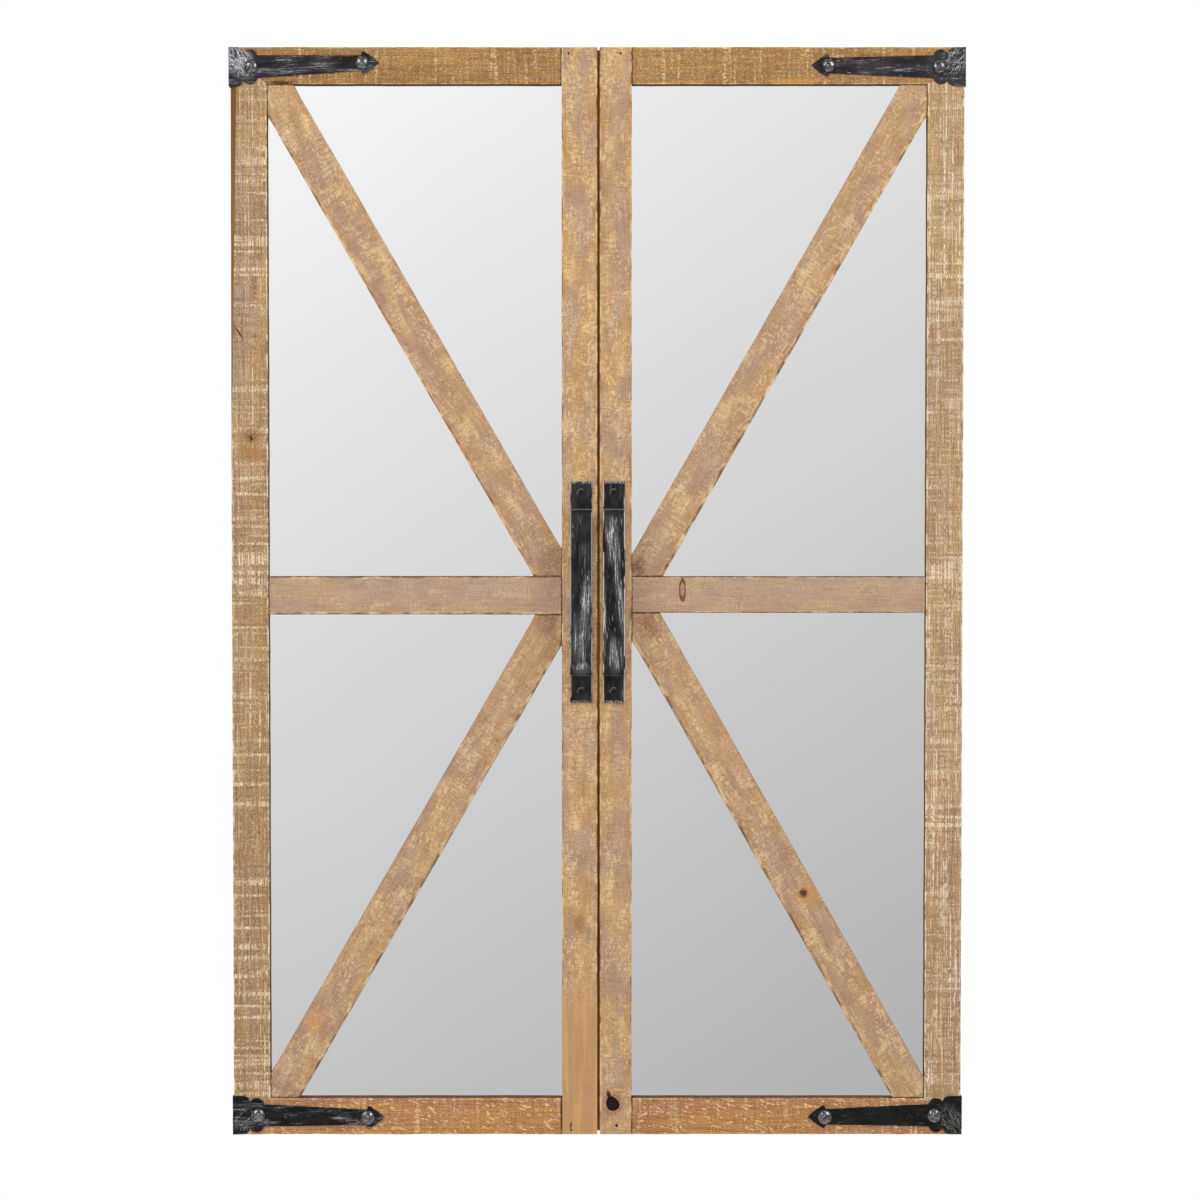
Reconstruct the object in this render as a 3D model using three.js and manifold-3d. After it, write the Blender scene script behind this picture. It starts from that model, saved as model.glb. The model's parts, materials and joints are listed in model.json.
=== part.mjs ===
// A hanging mirror made as a pair of rustic window shutters.
// Two framed leaves hold a mirror each behind a rail and two braces, and swing on strap hinges
// from a slim batten frame that hangs flat on the wall.
// Sizes are millimetres. X runs to the right, Y runs back to the wall and Z runs up.
// The wall plane is Y = 0, the leaves face -Y, and Z = 0 is half-way up.

import * as THREE from 'three';
import { mergeVertices } from 'three/addons/utils/BufferGeometryUtils.js';
import Module from 'manifold-3d';

// Whole object
const overallHeight = 914.4;
const leftLeafWidth = 307.3;
const rightLeafWidth = 305.2;
const centreGap = 1.85;

// Leaf boards
const boardThickness = 14;
const outerStileWidth = 31;
const leftMeetingWidth = 30;
const rightMeetingWidth = 27;
const railHeight = 31;
const leftMidRail = { height: 32.4, drop: 1.2 };
const rightMidRail = { height: 30.8, drop: 0.6 };
const braceWidth = 31.8;
const braceSetBack = 1;
const mitreGap = 0.3;

// Mirror and its backing board
const mirrorDepth = 6;
const mirrorThickness = 3;
const backingThickness = 3;
const rebateWidth = 8;
const mirrorEdgeGap = 0.5;

// Frame behind the leaves, set in at its sides only
const frameDepth = 21;
const frameBattenWidth = 31;
const centrePostWidth = 46;
const frameInset = 3.6;
const seamGap = 0.8;

// Strap hinges
const strapThickness = 1.6;
const wrapThickness = 1;
const strapReach = 128;
const cornerPlateReach = 13.8;
const lobeReach = 25.6;
const lobeRise = 4.2;
const cornerPlateHeight = 33;
const notchHalf = 10.5;
const strapRootHalf = 9.6;
const strapEndHalf = 6.6;
const barbHalf = 10.1;
const arrowLength = 13.8;
const barbBackLength = 1.6;
const jambLeafLap = 11;
const jambLeafHeight = 30;
const knuckleRadius = 2;
const knuckleLap = 0.8;
const knuckleHeight = 11;
const hingePinRadius = 0.9;
const hingePinHeadRadius = 1.7;
const hingePinTopRadius = 1.2;
const hingePinHeadHeight = 0.8;

// Clavos, the domed nails through the straps
const nailHeadRadius = 5.45;
const nailHeadHeight = 4;
const nailShankRadius = 1.2;
const nailLength = 12;
const firstNailReach = 21;
const nailSpacing = 92.5;

// Bar pulls
const pullLength = 186;
const pullWidth = 18.5;
const pullThickness = 3;
const pullPadLength = 24;
const pullRiseLength = 2;
const pullStandOff = 22;
const pullBow = 1.5;
const pullBendRadius = 3.5;
const pullHeight = 1.5;
const pullShift = 1.5;
const pullScrewInset = 9.5;
const pullScrew = { headRadius: 3.6, headHeight: 2.2, shankRadius: 1.5, length: 14 };
const crossRecess = { length: 4.6, width: 1, depth: 1.2 };

// Magnet catches
const catchRadius = 6;
const magnetThickness = 5;
const strikeThickness = 1.5;
const catchReach = 10;

// Hangers on the back of the frame
const hangerHeight = 300;
const hangerPlateWidth = 12;
const hangerPlateLength = 25;
const hangerPlateThickness = 1.2;
const hangerPocketDepth = 5.5;
const hangerPocketMargin = 3;
const hangerPocketSide = 2.4;
const ringWireRadius = 1.1;
const ringHalfWidth = 9;
const ringCornerRadius = 2.5;
const ringLeg = 4;
const hangerKnuckleWall = 0.85;
const hangerScrewDrop = 14;
const hangerScrew = { headRadius: 2.6, headHeight: 1.1, shankRadius: 1.2, length: 8 };

// Clearances
const fitGap = 0.3;
const runningGap = 0.25;

// Roundness, in facets per full turn
const roundFacets = 20;
const smallFacets = 12;
const domeSteps = 5;
const curveSteps = 8;
const bendSteps = 5;

// How each strap was set by hand: degrees up at the tip, and its pattern's shift in from the side
const strapSet = {
  left_top: { tilt: 1.9, shift: -2.8 },
  right_top: { tilt: 0.6, shift: 0.4 },
  left_bottom: { tilt: -1.1, shift: -0.4 },
  right_bottom: { tilt: -0.8, shift: 1.4 },
};

// How each brace was set: degrees it leans from upright, and its shift in from the side
const braceSet = {
  left_top: { lean: 30, shift: -0.9 },
  right_top: { lean: 29.75, shift: -1.9 },
  left_bottom: { lean: 30, shift: 1.5 },
  right_bottom: { lean: 29.6, shift: 1.5 },
};

// Places worked out from the sizes
const overallWidth = leftLeafWidth + centreGap + rightLeafWidth;
const halfWidth = overallWidth / 2;
const halfHeight = overallHeight / 2;
const gapCentre = leftLeafWidth + centreGap / 2 - halfWidth;
const frameFront = -frameDepth;
const leafBack = frameFront - seamGap;
const leafFront = leafBack - boardThickness;
const braceFront = leafFront + braceSetBack;
const mirrorFront = leafFront + mirrorDepth;
const mirrorBack = mirrorFront + mirrorThickness;
const backingBack = mirrorBack + backingThickness;
const strapFront = leafFront - strapThickness;
const strapMiddle = cornerPlateHeight / 2;
const hingeY = leafBack + knuckleRadius + fitGap;
const hingeInset = knuckleRadius - knuckleLap;

const leaves = [
  {
    name: 'left',
    side: -1,
    width: leftLeafWidth,
    meetingWidth: leftMeetingWidth,
    midRail: leftMidRail,
  },
  {
    name: 'right',
    side: 1,
    width: rightLeafWidth,
    meetingWidth: rightMeetingWidth,
    midRail: rightMidRail,
  },
];
const levels = [
  { name: 'top', sign: 1 },
  { name: 'bottom', sign: -1 },
];

const wasm = await Module();
wasm.setup();

const finishes = {
  pine: new THREE.MeshStandardMaterial({ color: 0xb99b75, roughness: 0.85, metalness: 0 }),
  railPine: new THREE.MeshStandardMaterial({ color: 0xb08659, roughness: 0.85, metalness: 0 }),
  bracePine: new THREE.MeshStandardMaterial({ color: 0xbc9a7c, roughness: 0.85, metalness: 0 }),
  framePine: new THREE.MeshStandardMaterial({ color: 0x8a6038, roughness: 0.9, metalness: 0 }),
  hardboard: new THREE.MeshStandardMaterial({ color: 0x7b5a3c, roughness: 0.8, metalness: 0 }),
  mirror: new THREE.MeshStandardMaterial({ color: 0xe4e6e6, roughness: 0.03, metalness: 1 }),
  iron: new THREE.MeshStandardMaterial({ color: 0x2e2f30, roughness: 0.45, metalness: 0.8 }),
  pewter: new THREE.MeshStandardMaterial({ color: 0x6e6c6e, roughness: 0.35, metalness: 0.9 }),
  zinc: new THREE.MeshStandardMaterial({ color: 0xb6b9bc, roughness: 0.4, metalness: 0.9 }),
  magnet: new THREE.MeshStandardMaterial({ color: 0x3b3b3d, roughness: 0.6, metalness: 0.4 }),
};

// A closed geometry as a solid that can be joined and cut.
function toSolid(geometry) {
  const bare = geometry.clone();
  bare.deleteAttribute('normal');
  bare.deleteAttribute('uv');
  const merged = mergeVertices(bare);
  const vertProperties = new Float32Array(merged.attributes.position.array);
  const triVerts = new Uint32Array(merged.index.array);
  return new wasm.Manifold(new wasm.Mesh({ numProp: 3, vertProperties, triVerts }));
}

// A solid back as a geometry.
function toGeometry(solid) {
  const mesh = solid.getMesh();
  const geometry = new THREE.BufferGeometry();
  geometry.setAttribute('position', new THREE.BufferAttribute(new Float32Array(mesh.vertProperties), 3));
  geometry.setIndex(new THREE.BufferAttribute(new Uint32Array(mesh.triVerts), 1));
  geometry.computeVertexNormals();
  return geometry;
}

// A prism on an outline of [first, second] pairs, from low to high along one axis.
// The pairs are (Y, Z) along X, (X, Z) along Y and (X, Y) along Z.
function prism(axis, outline, low, high) {
  const corners = outline.map(([first, second]) => {
    return axis === 'y' ? new THREE.Vector2(second, first) : new THREE.Vector2(first, second);
  });
  const options = { depth: 1, steps: 1, bevelEnabled: false };
  const geometry = new THREE.ExtrudeGeometry(new THREE.Shape(corners), options);
  const place = geometry.attributes.position;
  for (let i = 0; i < place.count; i += 1) {
    const a = place.getX(i);
    const b = place.getY(i);
    const c = place.getZ(i) > 0.5 ? high : low;
    if (axis === 'x') {
      place.setXYZ(i, c, a, b);
    } else if (axis === 'y') {
      place.setXYZ(i, b, c, a);
    } else {
      place.setXYZ(i, a, b, c);
    }
  }
  return toSolid(geometry);
}

// A block between two corners.
function block(x0, x1, y0, y1, z0, z1) {
  const west = Math.min(x0, x1);
  const east = Math.max(x0, x1);
  return prism('y', [[west, z0], [east, z0], [east, z1], [west, z1]], y0, y1);
}

// The points of a circle, as pairs.
function circle(first, second, radius, facets) {
  const turn = (2 * Math.PI) / facets;
  return Array.from({ length: facets }, (_, i) => {
    const angle = (i + 0.5) * turn;
    return [first + radius * Math.cos(angle), second + radius * Math.sin(angle)];
  });
}

// The part of an outline that lies inside an upright rectangle, with exact edges.
function clipToBox(outline, low, high) {
  let points = outline;
  for (const axis of [0, 1]) {
    for (const [limit, sign] of [[low[axis], 1], [high[axis], -1]]) {
      const kept = [];
      points.forEach((point, i) => {
        const next = points[(i + 1) % points.length];
        const here = sign * (point[axis] - limit);
        const there = sign * (next[axis] - limit);
        if (here >= 0) {
          kept.push(point);
        }
        if ((here > 0 && there < 0) || (here < 0 && there > 0)) {
          const share = here / (here - there);
          const crossing = [0, 1].map((k) => point[k] + share * (next[k] - point[k]));
          crossing[axis] = limit;
          kept.push(crossing);
        }
      });
      points = kept;
    }
  }
  return points;
}

// A turned geometry about local Y, from (radius, height) pairs that run from the top down.
function lathe(profile, facets) {
  const points = profile.map(([radius, height]) => new THREE.Vector2(radius, height));
  return new THREE.LatheGeometry(points.reverse(), facets);
}

// A named mesh in a finish.
function piece(name, solid, finish) {
  const mesh = new THREE.Mesh(toGeometry(solid), finishes[finish]);
  mesh.name = name;
  return mesh;
}

// X at a distance in from a leaf's outer side.
function inFrom(side, distance) {
  return side * (halfWidth - distance);
}

// Z at a distance in from the top or bottom edge of the leaves.
function downFrom(sign, distance) {
  return sign * (halfHeight - distance);
}

// Pairs of (distance in, distance from the edge) as (X, Z) pairs.
function placeCorner(side, sign, pairs) {
  return pairs.map(([inward, away]) => [inFrom(side, inward), downFrom(sign, away)]);
}

// A round hole along Y, with room for a shank.
function shankHole(x, z, radius, y0, y1) {
  return prism('y', circle(x, z, radius + fitGap, smallFacets), y0, y1);
}

// Each strap's two nail places, in from the side and up from the middle of the rail.
function nailPlaces(name) {
  const tilt = THREE.MathUtils.degToRad(strapSet[name].tilt);
  const start = firstNailReach + strapSet[name].shift;
  return [
    { name: 'outer', inward: start, up: 0 },
    { name: 'inner', inward: start + nailSpacing * Math.cos(tilt), up: nailSpacing * Math.sin(tilt) },
  ];
}

// Nail holes in a rail, and how deep a nail goes below the strap.
function nailHoles(leaf, level) {
  const depth = nailLength - strapThickness + fitGap;
  const holes = nailPlaces(`${leaf.name}_${level.name}`).map(({ inward, up }) => {
    const x = inFrom(leaf.side, inward);
    const z = downFrom(level.sign, strapMiddle) + up;
    return shankHole(x, z, nailShankRadius, leafFront - fitGap, leafFront + depth);
  });
  return holes[0].add(holes[1]);
}

// The outer stile is mitred at both ends and rebated behind for the mirror.
function outerStile(leaf) {
  const slope = railHeight / outerStileWidth;
  const ease = (mitreGap / 2) * Math.sqrt(1 + slope * slope);
  const end = [[0, ease], [outerStileWidth, railHeight + ease]];
  const top = placeCorner(leaf.side, 1, end);
  const bottom = placeCorner(leaf.side, -1, end).reverse();
  const board = prism('y', [...top, ...bottom], leafFront, leafBack);
  const inner = inFrom(leaf.side, outerStileWidth + fitGap);
  const shoulder = inFrom(leaf.side, outerStileWidth - rebateWidth);
  const rebate = block(inner, shoulder, mirrorFront, leafBack + fitGap, -halfHeight, halfHeight);
  return board.subtract(rebate);
}

// The outer end of a rail follows the same mitre.
function rail(leaf, level) {
  const slope = outerStileWidth / railHeight;
  const ease = (mitreGap / 2) * Math.sqrt(1 + slope * slope);
  const end = leaf.width - leaf.meetingWidth;
  const corners = [[ease, 0], [end, 0], [end, railHeight], [outerStileWidth + ease, railHeight]];
  const board = prism('y', placeCorner(leaf.side, level.sign, corners), leafFront, leafBack);
  const edges = [
    downFrom(level.sign, railHeight - rebateWidth),
    downFrom(level.sign, railHeight + fitGap),
  ].sort((a, b) => a - b);
  const rebate = block(
    inFrom(leaf.side, 0), inFrom(leaf.side, end + fitGap),
    mirrorFront, leafBack + fitGap, edges[0], edges[1],
  );
  return board.subtract(rebate).subtract(nailHoles(leaf, level));
}

// The meeting stile runs full height, with a stopped rebate, the strike pocket and two pilot holes.
function meetingStile(leaf) {
  const outer = inFrom(leaf.side, leaf.width);
  const inner = inFrom(leaf.side, leaf.width - leaf.meetingWidth);
  const board = block(outer, inner, leafFront, leafBack, -halfHeight, halfHeight);
  const shoulder = inFrom(leaf.side, leaf.width - leaf.meetingWidth + rebateWidth);
  const past = inFrom(leaf.side, leaf.width - leaf.meetingWidth - fitGap);
  const rebateEnd = halfHeight - railHeight + rebateWidth;
  const rebate = block(past, shoulder, mirrorFront, leafBack + fitGap, -rebateEnd, rebateEnd);
  const pocket = prism(
    'y', circle(catchX(leaf), pullHeight, catchRadius + fitGap, roundFacets),
    leafBack - strikeThickness, leafBack + fitGap,
  );
  const depth = pullScrew.length - pullThickness + fitGap;
  const pilots = pullScrewHeights().map((z) => {
    return shankHole(pullX(leaf), z, pullScrew.shankRadius, leafFront - fitGap, leafFront + depth);
  });
  return board.subtract(rebate).subtract(pocket).subtract(pilots[0]).subtract(pilots[1]);
}

// The mid rail lies on the mirror between the stiles.
function midRail(leaf) {
  const outer = inFrom(leaf.side, outerStileWidth);
  const inner = inFrom(leaf.side, leaf.width - leaf.meetingWidth);
  const half = leaf.midRail.height / 2;
  const middle = -leaf.midRail.drop;
  return block(outer, inner, braceFront, mirrorFront, middle - half, middle + half);
}

// A brace leans near the middle of its panel and is cut to the boards round it.
function brace(leaf, level) {
  const set = braceSet[`${leaf.name}_${level.name}`];
  const edges = [outerStileWidth, leaf.width - leaf.meetingWidth].map((d) => inFrom(leaf.side, d));
  const heights = [
    level.sign * (leaf.midRail.height / 2) - leaf.midRail.drop,
    level.sign * (halfHeight - railHeight),
  ];
  const low = [Math.min(...edges), Math.min(...heights)];
  const high = [Math.max(...edges), Math.max(...heights)];
  const middle = [(low[0] + high[0]) / 2 - leaf.side * set.shift, (low[1] + high[1]) / 2];
  const lean = leaf.side * level.sign * THREE.MathUtils.degToRad(set.lean);
  const along = [Math.sin(lean), Math.cos(lean)];
  const across = [Math.cos(lean), -Math.sin(lean)];
  const reach = overallHeight;
  const half = braceWidth / 2;
  const strip = [[-1, -1], [1, -1], [1, 1], [-1, 1]].map(([s, t]) => {
    return [0, 1].map((k) => middle[k] + s * half * across[k] + t * reach * along[k]);
  });
  return prism('y', clipToBox(strip, low, high), braceFront, mirrorFront);
}

// The mirror and its backing board fill the rebate.
function sheet(leaf, front, back) {
  const edge = rebateWidth - mirrorEdgeGap;
  const outer = inFrom(leaf.side, outerStileWidth - edge);
  const inner = inFrom(leaf.side, leaf.width - leaf.meetingWidth + edge);
  const reach = halfHeight - railHeight + edge;
  return block(outer, inner, front, back, -reach, reach);
}

// Half of a strap's outline, from the outer side to the tip, as (inward, up from the middle) pairs.
function strapHalfOutline(shift) {
  const shape = new THREE.Path();
  const plateHalf = cornerPlateHeight / 2;
  const notch = cornerPlateReach + shift;
  const root = lobeReach + shift;
  const tip = strapReach + shift;
  const lobeCentre = (notch + root) / 2;
  const lobeHalf = (lobeReach - cornerPlateReach) / 2;
  const lobeRadius = (lobeHalf ** 2 + lobeRise ** 2) / (2 * lobeRise);
  const lobeLevel = notchHalf + lobeRise - lobeRadius;
  const lobeAngle = Math.atan2(notchHalf - lobeLevel, -lobeHalf);
  const barb = tip - arrowLength;
  shape.moveTo(-wrapThickness, plateHalf);
  shape.lineTo(notch / 2, plateHalf);
  shape.quadraticCurveTo(notch, plateHalf, notch, notchHalf);
  shape.absarc(lobeCentre, lobeLevel, lobeRadius, lobeAngle, Math.PI - lobeAngle, true);
  shape.lineTo(root, strapRootHalf);
  shape.lineTo(barb - barbBackLength, strapEndHalf);
  shape.lineTo(barb, barbHalf);
  shape.quadraticCurveTo(barb + arrowLength / 2, strapEndHalf, tip, 0);
  return shape.getPoints(curveSteps);
}

// The whole outline, with the arm turned about the first nail by the strap's own tilt.
function strapOutline({ tilt, shift }) {
  const half = strapHalfOutline(shift);
  const turn = THREE.MathUtils.degToRad(tilt);
  const pivot = new THREE.Vector2(firstNailReach + shift, 0);
  const armStart = lobeReach + shift - fitGap;
  const lower = half.slice(0, -1).map((point) => new THREE.Vector2(point.x, -point.y)).reverse();
  return [...half, ...lower].map((point) => {
    const placed = point.x > armStart ? point.clone().rotateAround(pivot, turn) : point;
    return [placed.x, placed.y];
  });
}

// A strap iron lies on the rail, wraps the outer side and ends in the hinge's middle knuckle.
function strap(leaf, level) {
  const name = `${leaf.name}_${level.name}`;
  const middle = downFrom(level.sign, strapMiddle);
  const outline = strapOutline(strapSet[name]);
  const corners = outline.map(([inward, up]) => [inFrom(leaf.side, inward), middle + up]);
  const plate = prism('y', corners, strapFront, leafFront);
  const wood = inFrom(leaf.side, 0);
  const outside = inFrom(leaf.side, -wrapThickness);
  const half = strapMiddle;
  const wrapEnd = hingeY - knuckleRadius - fitGap;
  const wrap = block(wood, outside, strapFront, wrapEnd, middle - half, middle + half);
  const knuckleHalf = knuckleHeight / 2;
  const tabStart = wrapEnd - wrapThickness;
  const tab = block(wood, outside, tabStart, hingeY, middle - knuckleHalf, middle + knuckleHalf);
  const axisX = inFrom(leaf.side, hingeInset);
  const round = circle(axisX, hingeY, knuckleRadius, roundFacets);
  const knuckle = prism('z', round, middle - knuckleHalf, middle + knuckleHalf);
  const boreRound = circle(axisX, hingeY, hingePinRadius + runningGap, smallFacets);
  const bore = prism('z', boreRound, middle - half, middle + half);
  let iron = plate.add(wrap).add(tab).add(knuckle).subtract(bore);
  for (const { inward, up } of nailPlaces(name)) {
    const x = inFrom(leaf.side, inward);
    const hole = shankHole(x, middle + up, nailShankRadius, strapFront - fitGap, leafFront + fitGap);
    iron = iron.subtract(hole);
  }
  return iron;
}

// The fixed half of a hinge: a plate on the frame's outer side with a knuckle above and below.
function jambLeaf(leaf, level) {
  const middle = downFrom(level.sign, strapMiddle);
  const half = jambLeafHeight / 2;
  const wood = inFrom(leaf.side, frameInset);
  const outside = inFrom(leaf.side, frameInset - wrapThickness);
  const axisX = inFrom(leaf.side, hingeInset);
  const plateStart = hingeY + knuckleRadius + fitGap;
  const plate = block(wood, outside, plateStart, plateStart + jambLeafLap, middle - half, middle + half);
  const boreRound = circle(axisX, hingeY, hingePinRadius + runningGap, smallFacets);
  const bore = prism('z', boreRound, middle - half - fitGap, middle + half + fitGap);
  const inner = knuckleHeight / 2 + fitGap;
  let iron = plate;
  for (const sign of [1, -1]) {
    const ends = [middle + sign * inner, middle + sign * half].sort((a, b) => a - b);
    const knuckle = prism('z', circle(axisX, hingeY, knuckleRadius, roundFacets), ends[0], ends[1]);
    const tab = block(wood, outside, hingeY, plateStart + wrapThickness, ends[0], ends[1]);
    iron = iron.add(knuckle).add(tab);
  }
  return iron.subtract(bore);
}

// The pin drops through the three knuckles and rests on its head.
function hingePin(leaf, level) {
  const profile = [
    [0, hingePinHeadHeight],
    [hingePinTopRadius, hingePinHeadHeight],
    [hingePinHeadRadius, 0],
    [hingePinRadius, 0],
    [hingePinRadius, -jambLeafHeight],
    [0, -jambLeafHeight - fitGap],
  ];
  const name = `${leaf.name}_${level.name}_hinge_pin`;
  const pin = piece(name, toSolid(lathe(profile, smallFacets)), 'iron');
  const seat = downFrom(level.sign, strapMiddle) + jambLeafHeight / 2;
  pin.rotation.x = Math.PI / 2;
  pin.position.set(inFrom(leaf.side, hingeInset), hingeY, seat);
  return pin;
}

// A domed nail, its head flat on the strap.
function nail(name, x, z) {
  const steps = domeSteps;
  const dome = Array.from({ length: steps + 1 }, (_, i) => {
    const angle = (i / steps) * (Math.PI / 2);
    return [nailHeadRadius * Math.sin(angle), nailHeadHeight * Math.cos(angle)];
  });
  dome[0] = [0, nailHeadHeight];
  dome[steps] = [nailHeadRadius, 0];
  const point = nailLength - 2 * nailShankRadius;
  const shank = [[nailShankRadius, 0], [nailShankRadius, -point], [0, -nailLength]];
  const mesh = piece(name, toSolid(lathe([...dome, ...shank], roundFacets)), 'pewter');
  mesh.rotation.x = Math.PI;
  mesh.position.set(x, strapFront, z);
  return mesh;
}

// X of a leaf's pull and of its catch, both measured from the leaf's meeting edge.
function pullX(leaf) {
  return inFrom(leaf.side, leaf.width - leaf.meetingWidth / 2 + pullShift);
}

function catchX(leaf) {
  return inFrom(leaf.side, leaf.width - catchReach);
}

function pullScrewHeights() {
  const reach = pullLength / 2 - pullScrewInset;
  return [pullHeight + reach, pullHeight - reach];
}

// A path with its corners rounded, as points, given as (depth, height) pairs.
function roundedPath(corners, radius) {
  const points = [corners[0]];
  for (let i = 1; i < corners.length - 1; i += 1) {
    const [before, corner, after] = [corners[i - 1], corners[i], corners[i + 1]];
    const backward = before.clone().sub(corner).normalize();
    const forward = after.clone().sub(corner).normalize();
    const opening = Math.acos(THREE.MathUtils.clamp(backward.dot(forward), -1, 1));
    const trim = radius / Math.tan(opening / 2);
    const start = corner.clone().addScaledVector(backward, trim);
    const end = corner.clone().addScaledVector(forward, trim);
    points.push(...new THREE.QuadraticBezierCurve(start, corner, end).getPoints(bendSteps));
  }
  points.push(corners[corners.length - 1]);
  return points;
}

// A flat bar of even thickness about a centre line of (depth, height) points.
function barOutline(line, thickness) {
  const sides = [-1, 1].map((sign) => line.map((point, i) => {
    const before = line[Math.max(i - 1, 0)];
    const after = line[Math.min(i + 1, line.length - 1)];
    const run = after.clone().sub(before).normalize();
    return [point.x - (sign * thickness * run.y) / 2, point.y + (sign * thickness * run.x) / 2];
  }));
  return [...sides[0], ...sides[1].reverse()];
}

// The pull is one flat bar with a pad at each end, two offsets and a slightly bowed grip.
function pull(leaf) {
  const half = pullLength / 2;
  const padY = leafFront - pullThickness / 2;
  const gripY = leafFront - pullStandOff - pullThickness / 2;
  const rise = half - pullPadLength;
  const gripEnd = rise - pullRiseLength;
  const upper = [
    new THREE.Vector2(padY, half),
    new THREE.Vector2(padY, rise),
    new THREE.Vector2(gripY, gripEnd),
    new THREE.Vector2(gripY - pullBow, 0),
  ];
  const lower = upper.slice(0, -1).map((point) => new THREE.Vector2(point.x, -point.y)).reverse();
  const line = roundedPath([...upper, ...lower], pullBendRadius);
  for (const point of line) {
    point.y += pullHeight;
  }
  const x = pullX(leaf);
  const bar = prism('x', barOutline(line, pullThickness), x - pullWidth / 2, x + pullWidth / 2);
  const holes = pullScrewHeights().map((z) => screwCutter(pullScrew, x, leafFront - pullThickness, z));
  return bar.subtract(holes[0]).subtract(holes[1]);
}

// A countersunk screw's outline, made wider all round by grow.
function screwProfile(screw, grow) {
  return [
    [0, grow],
    [screw.headRadius + grow, grow],
    [screw.headRadius + grow, 0],
    [screw.shankRadius + grow, -screw.headHeight],
    [screw.shankRadius + grow, -screw.length + screw.shankRadius],
    [0, -screw.length - grow],
  ];
}

// The room that a screw takes, facing -Y at its place.
function screwCutter(screw, x, y, z) {
  const geometry = lathe(screwProfile(screw, fitGap), roundFacets);
  geometry.rotateX(Math.PI);
  geometry.translate(x, y, z);
  return toSolid(geometry);
}

// A screw whose head has a cross recess. Its head faces local +Y.
function screw(name, sizes) {
  const profile = [
    [0, 0],
    [sizes.headRadius, 0],
    [sizes.shankRadius, -sizes.headHeight],
    [sizes.shankRadius, -sizes.length + sizes.shankRadius],
    [0, -sizes.length],
  ];
  let body = toSolid(lathe(profile, roundFacets));
  const scale = sizes.headRadius / pullScrew.headRadius;
  const long = (crossRecess.length / 2) * scale;
  const wide = (crossRecess.width / 2) * scale;
  const deep = crossRecess.depth * scale;
  body = body.subtract(block(-long, long, -deep, deep, -wide, wide));
  body = body.subtract(block(-wide, wide, -deep, deep, -long, long));
  return piece(name, body, 'iron');
}

// A flat disc along Y.
function disc(x, z, radius, y0, y1) {
  return prism('y', circle(x, z, radius, roundFacets), y0, y1);
}

const pivotLift = hangerPlateThickness + ringWireRadius + fitGap;
const hangerFloor = -hangerPocketDepth;
const pivotY = hangerFloor + pivotLift;
const ringReach = ringLeg + ringHalfWidth + ringWireRadius;

function hangerX(leaf) {
  return inFrom(leaf.side, frameInset + frameBattenWidth / 2);
}

// The room for a hanger in the back of a post: the ring lies in it hanging or turned up.
function hangerPocket(leaf) {
  const x = hangerX(leaf);
  const half = ringHalfWidth + ringWireRadius + hangerPocketSide;
  const below = hangerHeight - hangerPlateLength - hangerPocketMargin;
  const above = hangerHeight + ringReach + hangerPocketMargin;
  return block(x - half, x + half, hangerFloor, fitGap, below, above);
}

// A side post of the frame, full height, with the hanger's pocket and its screw hole.
function sidePost(leaf) {
  const outer = inFrom(leaf.side, frameInset);
  const inner = inFrom(leaf.side, frameInset + frameBattenWidth);
  const board = block(outer, inner, frameFront, 0, -halfHeight, halfHeight);
  const depth = hangerFloor + hangerPlateThickness - hangerScrew.length - fitGap;
  const screwZ = hangerHeight - hangerScrewDrop;
  const hole = shankHole(hangerX(leaf), screwZ, hangerScrew.shankRadius, depth, fitGap);
  return board.subtract(hangerPocket(leaf)).subtract(hole);
}

// The head and the sill lie between the side posts.
function crossBatten(level) {
  const reach = halfWidth - frameInset - frameBattenWidth;
  const edges = [0, frameBattenWidth].map((d) => downFrom(level.sign, d)).sort((a, b) => a - b);
  return block(-reach, reach, frameFront, 0, edges[0], edges[1]);
}

// The centre post shows through the gap between the leaves and holds the magnets.
function centrePost() {
  const half = centrePostWidth / 2;
  const reach = halfHeight - frameBattenWidth;
  let post = block(gapCentre - half, gapCentre + half, frameFront, 0, -reach, reach);
  for (const leaf of leaves) {
    const pocket = circle(catchX(leaf), pullHeight, catchRadius + fitGap, roundFacets);
    post = post.subtract(prism('y', pocket, frameFront - fitGap, frameFront + magnetThickness));
  }
  return post;
}

// A hanger's plate is rolled round the ring's bar and screwed to the pocket's floor.
function hangerPlate(leaf) {
  const x = hangerX(leaf);
  const half = hangerPlateWidth / 2;
  const top = hangerFloor + hangerPlateThickness;
  const end = hangerHeight - hangerPlateLength;
  const plate = block(x - half, x + half, hangerFloor, top, end, hangerHeight);
  const bore = ringWireRadius + runningGap;
  const outerRound = circle(pivotY, hangerHeight, bore + hangerKnuckleWall, roundFacets);
  const innerRound = circle(pivotY, hangerHeight, bore, roundFacets);
  const roll = prism('x', outerRound, x - half, x + half);
  const hole = prism('x', innerRound, x - half - fitGap, x + half + fitGap);
  const sink = lathe(screwProfile(hangerScrew, fitGap), roundFacets);
  sink.translate(x, top, hangerHeight - hangerScrewDrop);
  return plate.add(roll).subtract(hole).subtract(toSolid(sink));
}

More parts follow.
